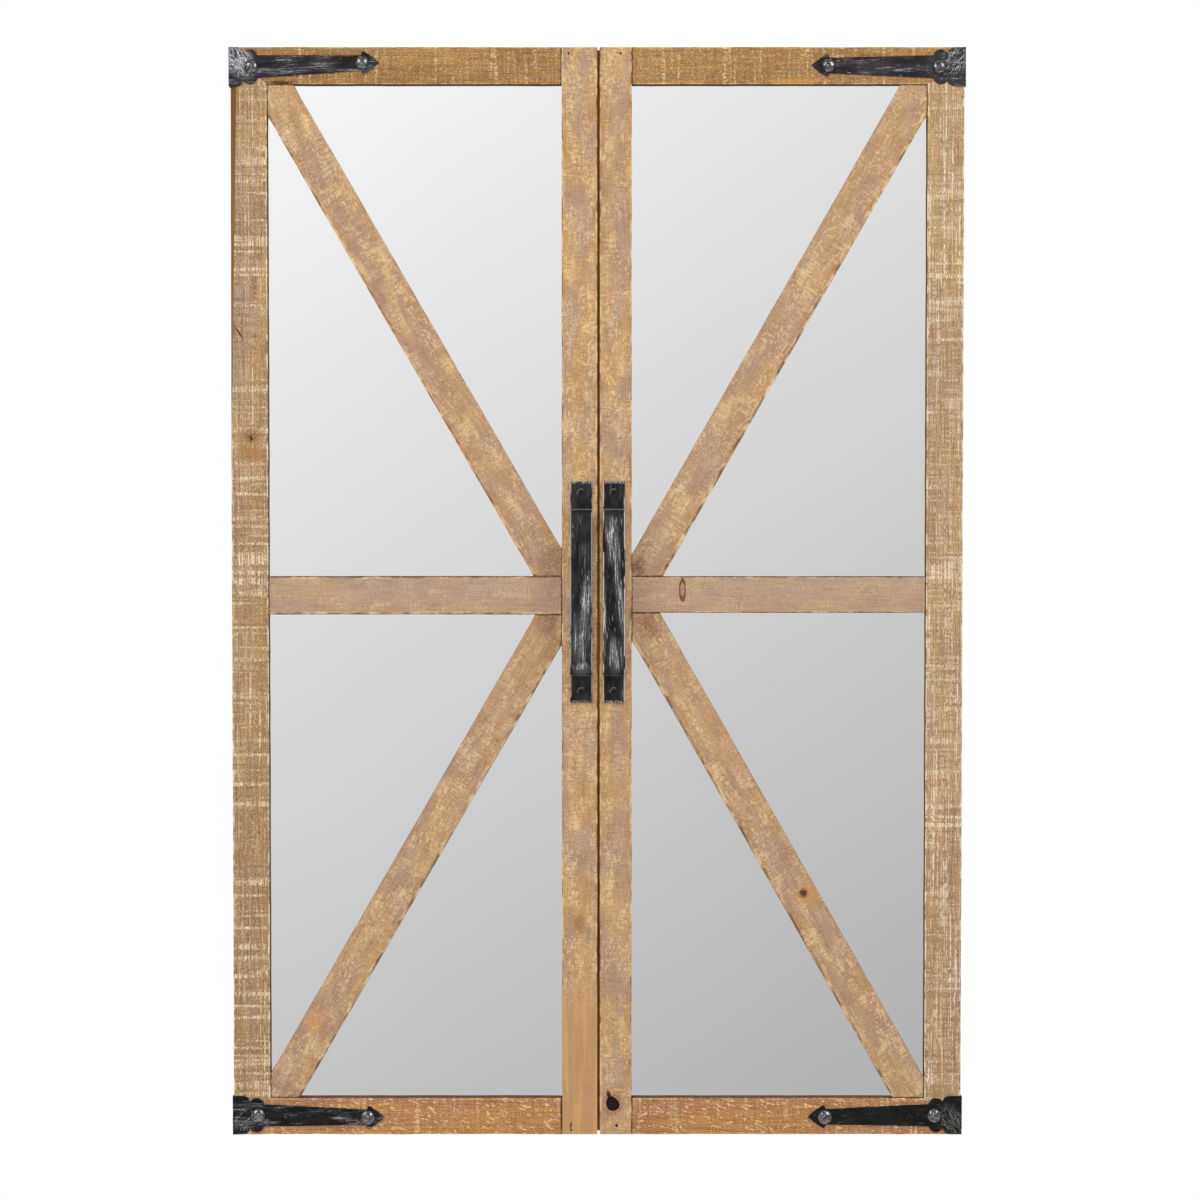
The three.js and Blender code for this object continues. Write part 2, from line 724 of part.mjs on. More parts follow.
// The middle line of a hanging ring, below its bar, as (X, Z) points.
function ringLine(leaf) {
  const x = hangerX(leaf);
  const line = new THREE.Path();
  const corner = ringCornerRadius;
  line.moveTo(-ringHalfWidth + corner, 0);
  line.lineTo(ringHalfWidth - corner, 0);
  line.absarc(ringHalfWidth - corner, -corner, corner, Math.PI / 2, 0, true);
  line.absarc(0, -ringLeg, ringHalfWidth, 0, -Math.PI, true);
  line.absarc(-ringHalfWidth + corner, -corner, corner, Math.PI, Math.PI / 2, true);
  const points = line.getPoints(smallFacets / 2);
  const apart = points.filter((point, i) => i === 0 || point.distanceTo(points[i - 1]) > fitGap);
  const last = apart[apart.length - 1];
  const whole = last.distanceTo(apart[0]) < fitGap ? apart.slice(0, -1) : apart;
  return whole.map((point) => new THREE.Vector3(x + point.x, pivotY, hangerHeight + point.y));
}

// A round wire along a closed line that lies in a plane of constant Y.
function closedWire(line, radius, facets) {
  const positions = [];
  const index = [];
  const toFront = new THREE.Vector3(0, -1, 0);
  line.forEach((point, i) => {
    const before = line[(i + line.length - 1) % line.length];
    const after = line[(i + 1) % line.length];
    const run = after.clone().sub(before).normalize();
    const across = run.clone().cross(toFront);
    for (let j = 0; j < facets; j += 1) {
      const angle = (j / facets) * 2 * Math.PI;
      const spot = point.clone();
      spot.addScaledVector(across, radius * Math.cos(angle));
      spot.addScaledVector(toFront, radius * Math.sin(angle));
      positions.push(spot.x, spot.y, spot.z);
    }
  });
  for (let i = 0; i < line.length; i += 1) {
    const next = (i + 1) % line.length;
    for (let j = 0; j < facets; j += 1) {
      const turn = (j + 1) % facets;
      const a = i * facets + j;
      const b = next * facets + j;
      const c = next * facets + turn;
      const d = i * facets + turn;
      index.push(a, b, c, a, c, d);
    }
  }
  const geometry = new THREE.BufferGeometry();
  geometry.setAttribute('position', new THREE.Float32BufferAttribute(positions, 3));
  geometry.setIndex(index);
  return toSolid(geometry);
}

// Everything that swings with one leaf.
function buildLeaf(leaf) {
  const group = new THREE.Group();
  const name = leaf.name;
  group.add(piece(`${name}_outer_stile`, outerStile(leaf), 'pine'));
  group.add(piece(`${name}_meeting_stile`, meetingStile(leaf), 'pine'));
  group.add(piece(`${name}_mid_rail`, midRail(leaf), 'bracePine'));
  group.add(piece(`${name}_mirror`, sheet(leaf, mirrorFront, mirrorBack), 'mirror'));
  group.add(piece(`${name}_backing_board`, sheet(leaf, mirrorBack, backingBack), 'hardboard'));
  for (const level of levels) {
    group.add(piece(`${name}_${level.name}_rail`, rail(leaf, level), 'railPine'));
    group.add(piece(`${name}_${level.name}_brace`, brace(leaf, level), 'bracePine'));
    group.add(piece(`${name}_${level.name}_strap`, strap(leaf, level), 'iron'));
    for (const place of nailPlaces(`${name}_${level.name}`)) {
      const x = inFrom(leaf.side, place.inward);
      const z = downFrom(level.sign, strapMiddle) + place.up;
      group.add(nail(`${name}_${level.name}_${place.name}_nail`, x, z));
    }
  }
  group.add(piece(`${name}_pull`, pull(leaf), 'iron'));
  pullScrewHeights().forEach((z, i) => {
    const fastener = screw(`${name}_pull_${levels[i].name}_screw`, pullScrew);
    fastener.rotation.x = Math.PI;
    fastener.position.set(pullX(leaf), leafFront - pullThickness, z);
    group.add(fastener);
  });
  const strike = disc(catchX(leaf), pullHeight, catchRadius, leafBack - strikeThickness, leafBack);
  group.add(piece(`${name}_strike_plate`, strike, 'zinc'));
  return group;
}

// One hanger ring with its plate and screw.
function buildHanger(leaf) {
  const group = new THREE.Group();
  group.add(piece(`${leaf.name}_hanger_plate`, hangerPlate(leaf), 'zinc'));
  const ring = closedWire(ringLine(leaf), ringWireRadius, smallFacets);
  group.add(piece(`${leaf.name}_hanger_ring`, ring, 'zinc'));
  const fastener = screw(`${leaf.name}_hanger_screw`, hangerScrew);
  const seat = hangerFloor + hangerPlateThickness;
  fastener.position.set(hangerX(leaf), seat, hangerHeight - hangerScrewDrop);
  group.add(fastener);
  return group;
}

// The fixed frame with its hinge halves, pins and magnets.
function buildFrame() {
  const group = new THREE.Group();
  group.add(piece('frame_head', crossBatten(levels[0]), 'framePine'));
  group.add(piece('frame_sill', crossBatten(levels[1]), 'framePine'));
  group.add(piece('frame_centre_post', centrePost(), 'framePine'));
  for (const leaf of leaves) {
    group.add(piece(`frame_${leaf.name}_post`, sidePost(leaf), 'framePine'));
    const magnet = disc(catchX(leaf), pullHeight, catchRadius, frameFront, frameFront + magnetThickness);
    group.add(piece(`${leaf.name}_magnet`, magnet, 'magnet'));
    for (const level of levels) {
      group.add(piece(`${leaf.name}_${level.name}_jamb_leaf`, jambLeaf(leaf, level), 'iron'));
      group.add(hingePin(leaf, level));
    }
    group.add(buildHanger(leaf));
  }
  return group;
}

const shutterMirror = new THREE.Group();
shutterMirror.add(buildFrame());
for (const leaf of leaves) {
  shutterMirror.add(buildLeaf(leaf));
}

export default shutterMirror;
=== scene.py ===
import json
import math
import bpy
from mathutils import Matrix, Vector


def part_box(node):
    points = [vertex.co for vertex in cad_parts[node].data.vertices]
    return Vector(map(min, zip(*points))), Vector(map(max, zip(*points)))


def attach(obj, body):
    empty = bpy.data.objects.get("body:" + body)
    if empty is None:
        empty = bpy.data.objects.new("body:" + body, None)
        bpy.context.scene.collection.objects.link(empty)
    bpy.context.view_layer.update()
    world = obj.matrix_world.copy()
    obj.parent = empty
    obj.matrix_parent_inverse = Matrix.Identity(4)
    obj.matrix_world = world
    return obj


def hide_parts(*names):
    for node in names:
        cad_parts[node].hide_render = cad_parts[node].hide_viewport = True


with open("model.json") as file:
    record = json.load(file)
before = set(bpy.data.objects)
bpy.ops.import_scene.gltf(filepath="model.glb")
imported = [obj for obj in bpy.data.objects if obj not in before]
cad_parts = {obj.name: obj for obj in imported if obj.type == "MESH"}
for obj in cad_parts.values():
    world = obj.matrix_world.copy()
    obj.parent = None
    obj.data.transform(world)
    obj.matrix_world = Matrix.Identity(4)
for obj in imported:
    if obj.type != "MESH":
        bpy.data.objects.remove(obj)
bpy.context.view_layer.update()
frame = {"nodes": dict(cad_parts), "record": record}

scene = bpy.context.scene
mm = 0.001
slotOf = {part["node"]: part["material_slot"] for part in frame["record"]["subparts"]}
bodyOf = {node: body for body, nodes in frame["record"]["behaviour"]["bodies"].items() for node in nodes}
sides = {"left": -1, "right": 1}
levels = {"top": 1, "bottom": -1}
print("frame loaded,", len(slotOf), "nodes")


# small helpers

def hexColour(text):    # sRGB hex to the linear colour that shaders take
    channels = [int(text[i:i + 2], 16) / 255 for i in (1, 3, 5)]
    return [c / 12.92 if c <= 0.04045 else ((c + 0.055) / 1.055) ** 2.4 for c in channels] + [1.0]


# inputs are values, sockets or nodes: a dictionary names them, a list fills the open sockets in order
def addNode(tree, kind, settings, inputs):
    node = tree.nodes.new(kind)
    for name, value in settings.items():
        setattr(node, name, value)
    if isinstance(inputs, list):
        openSockets = [index for index, socket in enumerate(node.inputs) if socket.enabled]
        inputs = dict(zip(openSockets, inputs))
    for socket, value in inputs.items():
        if isinstance(value, bpy.types.Node):
            value = next(output for output in value.outputs if output.enabled)
        if isinstance(value, bpy.types.NodeSocket):
            tree.links.new(value, node.inputs[socket])
        else:
            node.inputs[socket].default_value = value
    return node


# value, low, high, and where the step isn't from 0 to 1, its two ends
softStep = ("ShaderNodeMapRange", {"interpolation_type": "SMOOTHSTEP"})
mixColour = ("ShaderNodeMix", {"data_type": "RGBA"})    # factor, below, above
multiply = ("ShaderNodeMath", {"operation": "MULTIPLY"})
multiplyAdd = ("ShaderNodeMath", {"operation": "MULTIPLY_ADD"})
absolute = ("ShaderNodeMath", {"operation": "ABSOLUTE"})
subtract = ("ShaderNodeMath", {"operation": "SUBTRACT"})
plus = ("ShaderNodeMath", {"operation": "ADD"})
maximum = ("ShaderNodeMath", {"operation": "MAXIMUM"})
minimum = ("ShaderNodeMath", {"operation": "MINIMUM"})


def newMaterial(name):    # a material with an empty node tree
    material = bpy.data.materials.new(name)
    material.use_nodes = True
    material.node_tree.nodes.clear()
    return material, material.node_tree


def selectOnly(piece):
    bpy.ops.object.select_all(action="DESELECT")
    piece.select_set(True)
    bpy.context.view_layer.objects.active = piece


def applyModifier(piece, kind, settings):
    selectOnly(piece)
    modifier = piece.modifiers.new(kind.title(), kind)
    for name, value in settings.items():
        setattr(modifier, name, value)
    bpy.ops.object.modifier_apply(modifier=modifier.name)


def mergedCopy(node, name):    # the CAD shape as clean faces, free to be worn
    piece = bpy.data.objects.new(name, frame["nodes"][node].data.copy())
    scene.collection.objects.link(piece)
    piece.data.materials.clear()
    selectOnly(piece)
    bpy.ops.mesh.customdata_custom_splitnormals_clear()
    bpy.ops.object.mode_set(mode="EDIT")
    bpy.ops.mesh.select_all(action="SELECT")
    bpy.ops.mesh.remove_doubles(threshold=0.01 * mm)
    bpy.ops.mesh.dissolve_limited(angle_limit=math.radians(0.5))
    bpy.ops.object.mode_set(mode="OBJECT")
    return piece


def smoothShade(piece, degrees):
    selectOnly(piece)
    bpy.ops.object.shade_smooth_by_angle(angle=math.radians(degrees))


def hang(piece, *nodes):    # a finished piece stands for its nodes and moves with their body
    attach(piece, bodyOf[nodes[0]])
    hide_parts(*nodes)


def lumps(name, sizeMm):    # a soft random field for dents and hammer marks
    texture = bpy.data.textures.new(name, "CLOUDS")
    texture.noise_scale = sizeMm * mm
    texture.noise_depth = 1
    return texture


def middleOf(node):
    low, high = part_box(node)
    return (low + high) / 2


def keepWithin(piece, node):    # worn faces never stand out past the CAD's box
    low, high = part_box(node)
    for vertex in piece.data.vertices:
        vertex.co = [min(max(value, least), most) for value, least, most in zip(vertex.co, low, high)]


# wood

wood = {
    "edgeRound": 0.7,       # worn arris, mm
    "waver": 0.7,           # how far the sawn faces wander, mm
    "waverSize": 24.0,
    "waverLevel": 0.78,     # above 0.5 the faces wander inwards
    "sliceStep": 9.0,       # length of the slices that can wander, mm
    "sliceShift": 0.37,     # keeps the cuts off the board's middle, in steps
    "sawPitch": 1.4,        # saw and plane marks across a board, mm
    "bandPitch": 4.2,       # rows of lime dashes along a board, mm
    "ridgePitch": 1.1,      # raised grain that takes the lime, mm
    "fibrePitch": 0.9,
    "sideShade": "#5b3a20",      # painted shade on side faces and rounded arrises
    "joint": "#3d2614",     # painted shadow in the joints, also the dark of the chewed arrises
    "outerSideX": (0.3058, 0.3064),    # where the outer sides begin that get less painted shade, m
    "outerSideZ": (0.4558, 0.4564),
    "outerShadeCut": 0.75,         # how much of the painted side shade is taken off them
    "buttIn": 0.4,          # how far rails and braces reach into the boards they meet, mm
    "mitreClose": 0.7,      # how far the stiles' ends reach into the mitre gaps, mm
    "waneWidth": 6.2,       # bare strip at the top of the left stile, mm
    "waneDepth": 5.0,
    "waneEnd": 90.0,        # height where the bare strip runs out, mm
    "holeDepth": 2.5,       # mm
}


# X across the board, Y through it and Z along it, from its middle
def boardSpace(tree, node, lean, skew=0.0):
    coords = addNode(tree, "ShaderNodeTexCoord", {}, {})
    turn = Matrix.Rotation(-lean - skew, 3, "Y")
    return addNode(tree, "ShaderNodeMapping", {}, {
        "Vector": coords.outputs["Object"],
        "Location": -(turn @ middleOf(node)),
        "Rotation": (0, -lean - skew, 0),
    })


def grainField(tree, board, acrossMm, alongMm, seed, detail):    # noise stretched to a real size
    stretched = addNode(tree, "ShaderNodeMapping", {}, {
        "Vector": board,
        "Location": (seed * 7.3, seed * 3.1, seed * 5.7),
        "Scale": (1 / (acrossMm * mm), 1 / (acrossMm * mm), 1 / (alongMm * mm)),
    })
    return addNode(tree, "ShaderNodeTexNoise", {}, {"Vector": stretched, "Scale": 1.0, "Detail": detail})


def faceOn(tree):    # 1 on faces that look forwards or back, 0 on side faces
    coords = addNode(tree, "ShaderNodeTexCoord", {}, {})
    normal = addNode(tree, "ShaderNodeSeparateXYZ", {}, {"Vector": coords.outputs["Normal"]})
    return addNode(tree, *absolute, [normal.outputs["Y"]])


def edgeMask(tree, board, seed, halfWidthMm, reachMm):    # along both front arrises, in broken runs
    parts = addNode(tree, "ShaderNodeSeparateXYZ", {}, {"Vector": board})
    away = addNode(tree, *absolute, [parts.outputs["X"]])
    near = addNode(tree, *softStep, [away, (halfWidthMm - reachMm) * mm, (halfWidthMm - 0.3) * mm])
    patchy = addNode(tree, *softStep, [grainField(tree, board, 4, 12, seed + 0.5, 4), 0.46, 0.6])
    return addNode(tree, *multiply, [
        addNode(tree, *multiply, [near, patchy]), addNode(tree, *softStep, [faceOn(tree), 0.3, 0.7]),
    ])


def sideFaceShadeMask(tree):    # painted shade on side faces and rounded arrises, less on the outer sides of the leaves
    coords = addNode(tree, "ShaderNodeTexCoord", {}, {})
    place = addNode(tree, "ShaderNodeVectorMath", {"operation": "ABSOLUTE"}, {0: coords.outputs["Object"]})
    parts = addNode(tree, "ShaderNodeSeparateXYZ", {}, {"Vector": place})
    sideways = addNode(tree, *softStep, [parts.outputs["X"], *wood["outerSideX"], 0.0, wood["outerShadeCut"]])
    endwise = addNode(tree, *softStep, [parts.outputs["Z"], *wood["outerSideZ"], 0.0, wood["outerShadeCut"]])
    outerShadeCut = addNode(tree, *maximum, [sideways, endwise])
    return addNode(tree, *multiply, [
        addNode(tree, *softStep, [faceOn(tree), 0.9, 0.55]), addNode(tree, *subtract, [1.0, outerShadeCut]),
    ])


# painted shadow: a ragged dark line where a board butts against its neighbours
def jointShadowMask(tree, node, reachMm, alsoUpDown):
    coords = addNode(tree, "ShaderNodeTexCoord", {}, {})
    low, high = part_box(node)
    away = addNode(tree, "ShaderNodeVectorMath", {"operation": "SUBTRACT"}, {
        0: coords.outputs["Object"], 1: (low + high) / 2,
    })
    away = addNode(tree, "ShaderNodeVectorMath", {"operation": "ABSOLUTE"}, {0: away})
    inward = addNode(tree, "ShaderNodeVectorMath", {"operation": "SUBTRACT"}, {0: (high - low) / 2, 1: away})
    parts = addNode(tree, "ShaderNodeSeparateXYZ", {}, {"Vector": inward})
    nearest = parts.outputs["X"]
    if alsoUpDown:
        nearest = addNode(tree, *minimum, [nearest, parts.outputs["Z"]])
    ragged = addNode(tree, "ShaderNodeTexNoise", {}, {
        "Vector": coords.outputs["Object"], "Scale": 1 / (3 * mm), "Detail": 3.0,
    })
    edge = addNode(tree, *multiplyAdd, [ragged, -1.8 * mm, nearest])
    return addNode(tree, *softStep, [edge, (reachMm - 0.9) * mm, -0.9 * mm])


def softSpot(tree, space, at, size, lean):    # distance from a spot's middle, 1 at its rim
    stretch = (size[0] * mm / 2, 1.0, size[1] * mm / 2)
    local = addNode(tree, "ShaderNodeMapping", {"vector_type": "TEXTURE"}, {
        "Vector": space, "Location": at, "Rotation": (0, lean, 0), "Scale": stretch,
    })
    reach = addNode(tree, "ShaderNodeVectorMath", {"operation": "LENGTH"}, {0: local})
    return local, reach.outputs["Value"]


def addKnots(tree, colour, boardKnots):    # dark heart and a warm mottled halo, each at its place
    for knot in boardKnots:
        coords = addNode(tree, "ShaderNodeTexCoord", {}, {})
        x, z = knot["at"]
        at = (x * mm, middleOf(knot["node"]).y, z * mm)
        local, reach = softSpot(tree, coords.outputs["Object"], at, knot["size"], knot.get("lean", 0))
        ragged = addNode(tree, "ShaderNodeTexNoise", {}, {"Vector": local, "Scale": 1.6, "Detail": 3.0})
        fleck = addNode(tree, "ShaderNodeTexNoise", {}, {
            "Vector": coords.outputs["Object"], "Scale": 700.0, "Detail": 1.0,
        })
        rough = knot.get("rough", 1.1)
        distance = addNode(tree, *multiplyAdd, [ragged, rough, addNode(tree, *subtract, [reach, rough / 2])])
        halo = addNode(tree, *softStep, [distance, knot.get("halo", 1.8), 0.6, 0.0, knot.get("warmth", 0.7)])
        mottled = addNode(tree, *multiply, [halo, addNode(tree, *softStep, [fleck, 0.25, 0.6])])
        colour = addNode(tree, *mixColour, [mottled, colour, hexColour(knot["tint"])])
        heart = addNode(tree, *softStep, [distance, 1.0, 0.45, 0.0, knot["strength"]])
        if knot.get("ring"):    # only the dark outline of a sound knot
            fromRim = addNode(tree, *absolute, [addNode(tree, *subtract, [distance, 0.9])])
            heart = addNode(tree, *softStep, [fromRim, 0.34, 0.12, 0.0, knot["strength"]])
        colour = addNode(tree, *mixColour, [heart, colour, hexColour(knot.get("heart", "#3b2110"))])
    return colour


def woodSurface(tree, colour, relief, depthMm):    # dry open wood with hardly any gloss
    bump = addNode(tree, "ShaderNodeBump", {}, {"Height": relief, "Strength": 0.6, "Distance": depthMm * mm})
    surface = addNode(tree, "ShaderNodeBsdfPrincipled", {}, {
        "Base Color": colour, "Roughness": 0.82, "Specular IOR Level": 0.25, "Normal": bump,
    })
    addNode(tree, "ShaderNodeOutputMaterial", {}, {"Surface": surface})


# pine off a band saw, stained honey and rubbed with lime: cream dashes in rows over gold and taupe streaks
def bandSawnPine(node, lean, halfWidthMm, look, seed, boardKnots):
    material, tree = newMaterial("bandSawnPine_" + node)
    board = boardSpace(tree, node, lean)
    lime, dark = hexColour(look["lime"]), hexColour(look["dark"])
    broad = grainField(tree, board, 22, 70, seed, 3)
    streak = grainField(tree, board, 3.6, 75, seed + 12, 3)
    fibre = grainField(tree, board, wood["fibrePitch"], 26, seed + 1, 2)
    saw = grainField(tree, board, 40, wood["sawPitch"], seed + 2, 2)
    speck = grainField(tree, board, 0.9, 1.5, seed + 6, 2)
    colour = addNode(tree, *mixColour, [
        addNode(tree, *softStep, [broad, 0.38, 0.62]), hexColour(look["stain"]), hexColour(look["shade"]),
    ])
    height = addNode(tree, "ShaderNodeSeparateXYZ", {}, {"Vector": board}).outputs["Z"]
    layers = (    # what it follows, from, to, amount and tone
        (streak, 0.52, 0.64, 0.75, hexColour(look["taupe"])),
        (streak, 0.46, 0.36, 0.6, hexColour(look["gold"])),
        # darker towards the bottom of the board
        (height, 0.15, -0.4, look["fade"], hexColour(look["shade"])),
        (height, 0.15, -0.4, look["fade"] / 2, dark),
        (fibre, 0.46, 0.7, 0.6, dark),
        (saw, 0.5, 0.25, 0.5, dark),
        (speck, 0.46, 0.3, 0.65, dark),
    )
    for value, low, high, amount, tone in layers:
        mask = addNode(tree, *softStep, [value, low, high, 0.0, amount])
        colour = addNode(tree, *mixColour, [mask, colour, tone])
    thread = addNode(tree, *softStep, [grainField(tree, board, 0.95, 40, seed + 13, 1), 0.5, 0.6])
    weave = addNode(tree, *softStep, [grainField(tree, board, 26, 2.6, seed + 14, 2), 0.48, 0.58])
    woven = addNode(tree, *multiply, [addNode(tree, *multiply, [thread, weave]), look["weave"]])
    ridge = addNode(tree, *softStep, [grainField(tree, board, wood["ridgePitch"], 48, seed + 3, 1), 0.52, 0.6])
    jitter = grainField(tree, board, 1.0, 1.6, seed + 7, 2)
    band = grainField(tree, board, 90, wood["bandPitch"], seed + 4, 1)
    row = addNode(tree, *multiplyAdd, [jitter, 0.36, band])
    rows = addNode(tree, *softStep, [row, look["rowStart"] + 0.2, look["rowStart"] + 0.27])
    area = addNode(tree, *softStep, [grainField(tree, board, 24, 34, seed + 5, 2), 0.36, 0.54])
    dashes = addNode(tree, *multiply, [addNode(tree, *multiply, [rows, area]), ridge])
    dots = addNode(tree, *multiply, [
        rows, addNode(tree, *softStep, [grainField(tree, board, 1.0, 1.1, seed + 8, 1), 0.54, 0.62]),
    ])
    threads = addNode(tree, *softStep, [
        grainField(tree, board, 0.9, 120, seed + 9, 1), look["threadStart"], look["threadStart"] + 0.05,
    ])
    broken = addNode(tree, *softStep, [grainField(tree, board, 3, 5, seed + 10, 3), 0.4, 0.56])
    marks = addNode(tree, *maximum, [
        dashes, addNode(tree, *maximum, [dots, addNode(tree, *multiply, [threads, broken])]),
    ])
    marks = addNode(tree, *maximum, [woven, addNode(tree, *multiply, [marks, look["limeAmount"]])])
    colour = addNode(tree, *mixColour, [marks, colour, lime])
    colour = addNode(tree, *mixColour, [addNode(tree, *softStep, [speck, 0.56, 0.74, 0.0, 0.55]), colour, lime])
    if look.get("flecks"):    # torn grain, slanting, that held more lime
        slant = boardSpace(tree, node, lean, 0.3)
        torn = addNode(tree, *softStep, [
            grainField(tree, slant, 1.5, 4.6, seed + 11, 2), 0.6, 0.68, 0.0, look["flecks"],
        ])
        colour = addNode(tree, *mixColour, [torn, colour, lime])
    # painted shade on side faces and rounded arrises
    colour = addNode(tree, *mixColour, [
        addNode(tree, *multiply, [sideFaceShadeMask(tree), 0.8]), colour, hexColour(wood["sideShade"]),
    ])
    limed = addNode(tree, *multiply, [edgeMask(tree, board, seed, halfWidthMm, 2.2), look["edgeLime"]])
    colour = addNode(tree, *mixColour, [limed, colour, lime])
    # painted shadow at the rail's butt joints
    if "rail" in node:
        colour = addNode(tree, *mixColour, [
            addNode(tree, *multiply, [jointShadowMask(tree, node, 1.4, False), 0.9]), colour,
            hexColour(wood["joint"]),
        ])
    colour = addKnots(tree, colour, boardKnots)
    woodSurface(tree, colour, addNode(tree, *multiplyAdd, [fibre, 0.6, saw]), 0.6)
    return material


# pine stained taupe and sanded back: straw feathered across the board, small curls in the wash, warm arrises
def sandedPine(node, lean, halfWidthMm, look, seed, boardKnots):
    material, tree = newMaterial("sandedPine_" + node)
    board = boardSpace(tree, node, lean)
    straw, dark = hexColour(look["straw"]), hexColour(look["dark"])
    broad = grainField(tree, board, 16, 50, seed, 3)
    fibre = grainField(tree, board, wood["fibrePitch"], 20, seed + 1, 2)
    brush = grainField(tree, board, 7, 1.0, seed + 2, 3)
    speck = grainField(tree, board, 0.8, 1.4, seed + 6, 2)
    patch = grainField(tree, board, 9, 26, seed + 3, 4)
    colour = addNode(tree, *mixColour, [
        addNode(tree, *softStep, [broad, 0.4, 0.6]), hexColour(look["stain"]), hexColour(look["shade"]),
    ])
    layers = ((fibre, 0.44, 0.7, 0.38), (brush, 0.48, 0.3, 0.3), (speck, 0.46, 0.3, 0.3))
    for value, low, high, amount in layers:
        mask = addNode(tree, *softStep, [value, low, high, 0.0, amount])
        colour = addNode(tree, *mixColour, [mask, colour, dark])
    feathered = addNode(tree, *multiplyAdd, [brush, 0.5, addNode(tree, *multiplyAdd, [speck, 0.3, patch])])
    start = look["patchStart"] + 0.14
    bare = addNode(tree, *softStep, [feathered, start, start + 0.22, 0.0, look["patchAmount"]])
    colour = addNode(tree, *mixColour, [bare, colour, straw])
    flake = addNode(tree, *multiplyAdd, [brush, 0.3, grainField(tree, board, 2.0, 4.2, seed + 8, 3)])
    near = addNode(tree, *softStep, [
        grainField(tree, board, 13, 30, seed + 9, 2), 0.42, 0.6, 0.0, look["flakes"],
    ])
    colour = addNode(tree, *mixColour, [
        addNode(tree, *multiply, [near, addNode(tree, *softStep, [flake, 0.7, 0.76])]), colour, straw,
    ])
    curl = addNode(tree, *absolute, [
        addNode(tree, *subtract, [grainField(tree, board, 1.9, 3.0, seed + 4, 1), 0.5]),
    ])
    where = grainField(tree, board, 12, 22, seed + 5, 3)
    pale = addNode(tree, *multiply, [
        addNode(tree, *softStep, [curl, 0.05, 0.015]),
        addNode(tree, *softStep, [where, 0.47, 0.6, 0.0, look["curls"]]),
    ])
    colour = addNode(tree, *mixColour, [pale, colour, straw])
    inky = addNode(tree, *multiply, [
        addNode(tree, *softStep, [curl, 0.045, 0.012]),
        addNode(tree, *softStep, [where, 0.5, 0.38, 0.0, look["inkyCurls"]]),
    ])
    colour = addNode(tree, *mixColour, [inky, colour, dark])
    colour = addNode(tree, *mixColour, [
        addNode(tree, *softStep, [speck, 0.57, 0.76, 0.0, 0.28]), colour, straw,
    ])
    warm = addNode(tree, *multiply, [edgeMask(tree, board, seed + 3.3, halfWidthMm, 5.0), look["warmEdge"]])
    colour = addNode(tree, *mixColour, [warm, colour, hexColour(look["orange"])])
    # painted shade on side faces and rounded arrises
    colour = addNode(tree, *mixColour, [
        addNode(tree, *multiply, [sideFaceShadeMask(tree), 0.8]), colour, hexColour(wood["sideShade"]),
    ])
    chips = addNode(tree, *multiply, [edgeMask(tree, board, seed, halfWidthMm, 2.6), 0.75])
    colour = addNode(tree, *mixColour, [chips, colour, straw])
    chewed = addNode(tree, *multiply, [edgeMask(tree, board, seed + 7.7, halfWidthMm, 1.7), 0.6])
    colour = addNode(tree, *mixColour, [chewed, colour, hexColour(wood["joint"])])
    if look.get("planed"):    # below this height the board was planed smooth and shows its long grain
        parts = addNode(tree, "ShaderNodeSeparateXYZ", {}, {"Vector": board})
        smooth = addNode(tree, *softStep, [
            parts.outputs["Z"], look["planed"] + 0.02, look["planed"] - 0.025, 0.0, 0.85,
        ])
        ribbon = addNode(tree, *softStep, [grainField(tree, board, 5, 70, seed + 15, 2), 0.38, 0.62])
        colour = addNode(tree, *mixColour, [
            smooth, colour, addNode(tree, *mixColour, [ribbon, hexColour("#c79a63"), hexColour("#b48a62")]),
        ])
    # painted shadow round the joints of rails and braces
    if "stile" not in node:
        colour = addNode(tree, *mixColour, [
            addNode(tree, *multiply, [jointShadowMask(tree, node, 1.2, True), 0.85]), colour,
            hexColour(wood["joint"]),
        ])
    colour = addKnots(tree, colour, boardKnots)
    woodSurface(tree, colour, addNode(tree, *multiplyAdd, [fibre, 0.6, brush]), 0.5)
    return material


# bare pine under the bark edge, planed frame battens: plain brown with long grain
def stainedPine(name, node, lean, base, dark, seed):
    material, tree = newMaterial("stainedPine_" + name)
    board = boardSpace(tree, node, lean)
    broad = addNode(tree, *softStep, [grainField(tree, board, 14, 120, seed, 3), 0.35, 0.65])
    fibre = addNode(tree, *softStep, [grainField(tree, board, 1.2, 40, seed + 1, 2), 0.42, 0.7, 0.0, 0.6])
    colour = addNode(tree, *mixColour, [broad, hexColour(base), hexColour(dark)])
    colour = addNode(tree, *mixColour, [fibre, colour, hexColour(dark)])
    woodSurface(tree, colour, fibre, 0.3)
    return material


leftStileLook = {
    "stain": "#b6946a", "shade": "#a2815c", "taupe": "#a08473", "gold": "#ba965f", "dark": "#7a5837",
    "lime": "#f0e0be",
    "rowStart": 0.54, "threadStart": 0.66, "limeAmount": 0.75, "weave": 0.24, "fade": 0.3, "edgeLime": 0.75,
}
rightStileLook = {
    "stain": "#b8966a", "shade": "#a98865", "taupe": "#a88b76", "gold": "#c09b62", "dark": "#82603c",
    "lime": "#f0e1c2",
    "rowStart": 0.57, "threadStart": 0.6, "limeAmount": 0.75, "weave": 0.4, "fade": 0.2, "edgeLime": 0.75,
}
topRailLook = {
    "stain": "#ab804e", "shade": "#9b7145", "taupe": "#9a7452", "gold": "#b3864a", "dark": "#754e2a",
    "lime": "#e8cf9a",
    "rowStart": 0.55, "threadStart": 0.72, "limeAmount": 0.65, "weave": 0.16, "fade": 0.0, "edgeLime": 0.3,
}
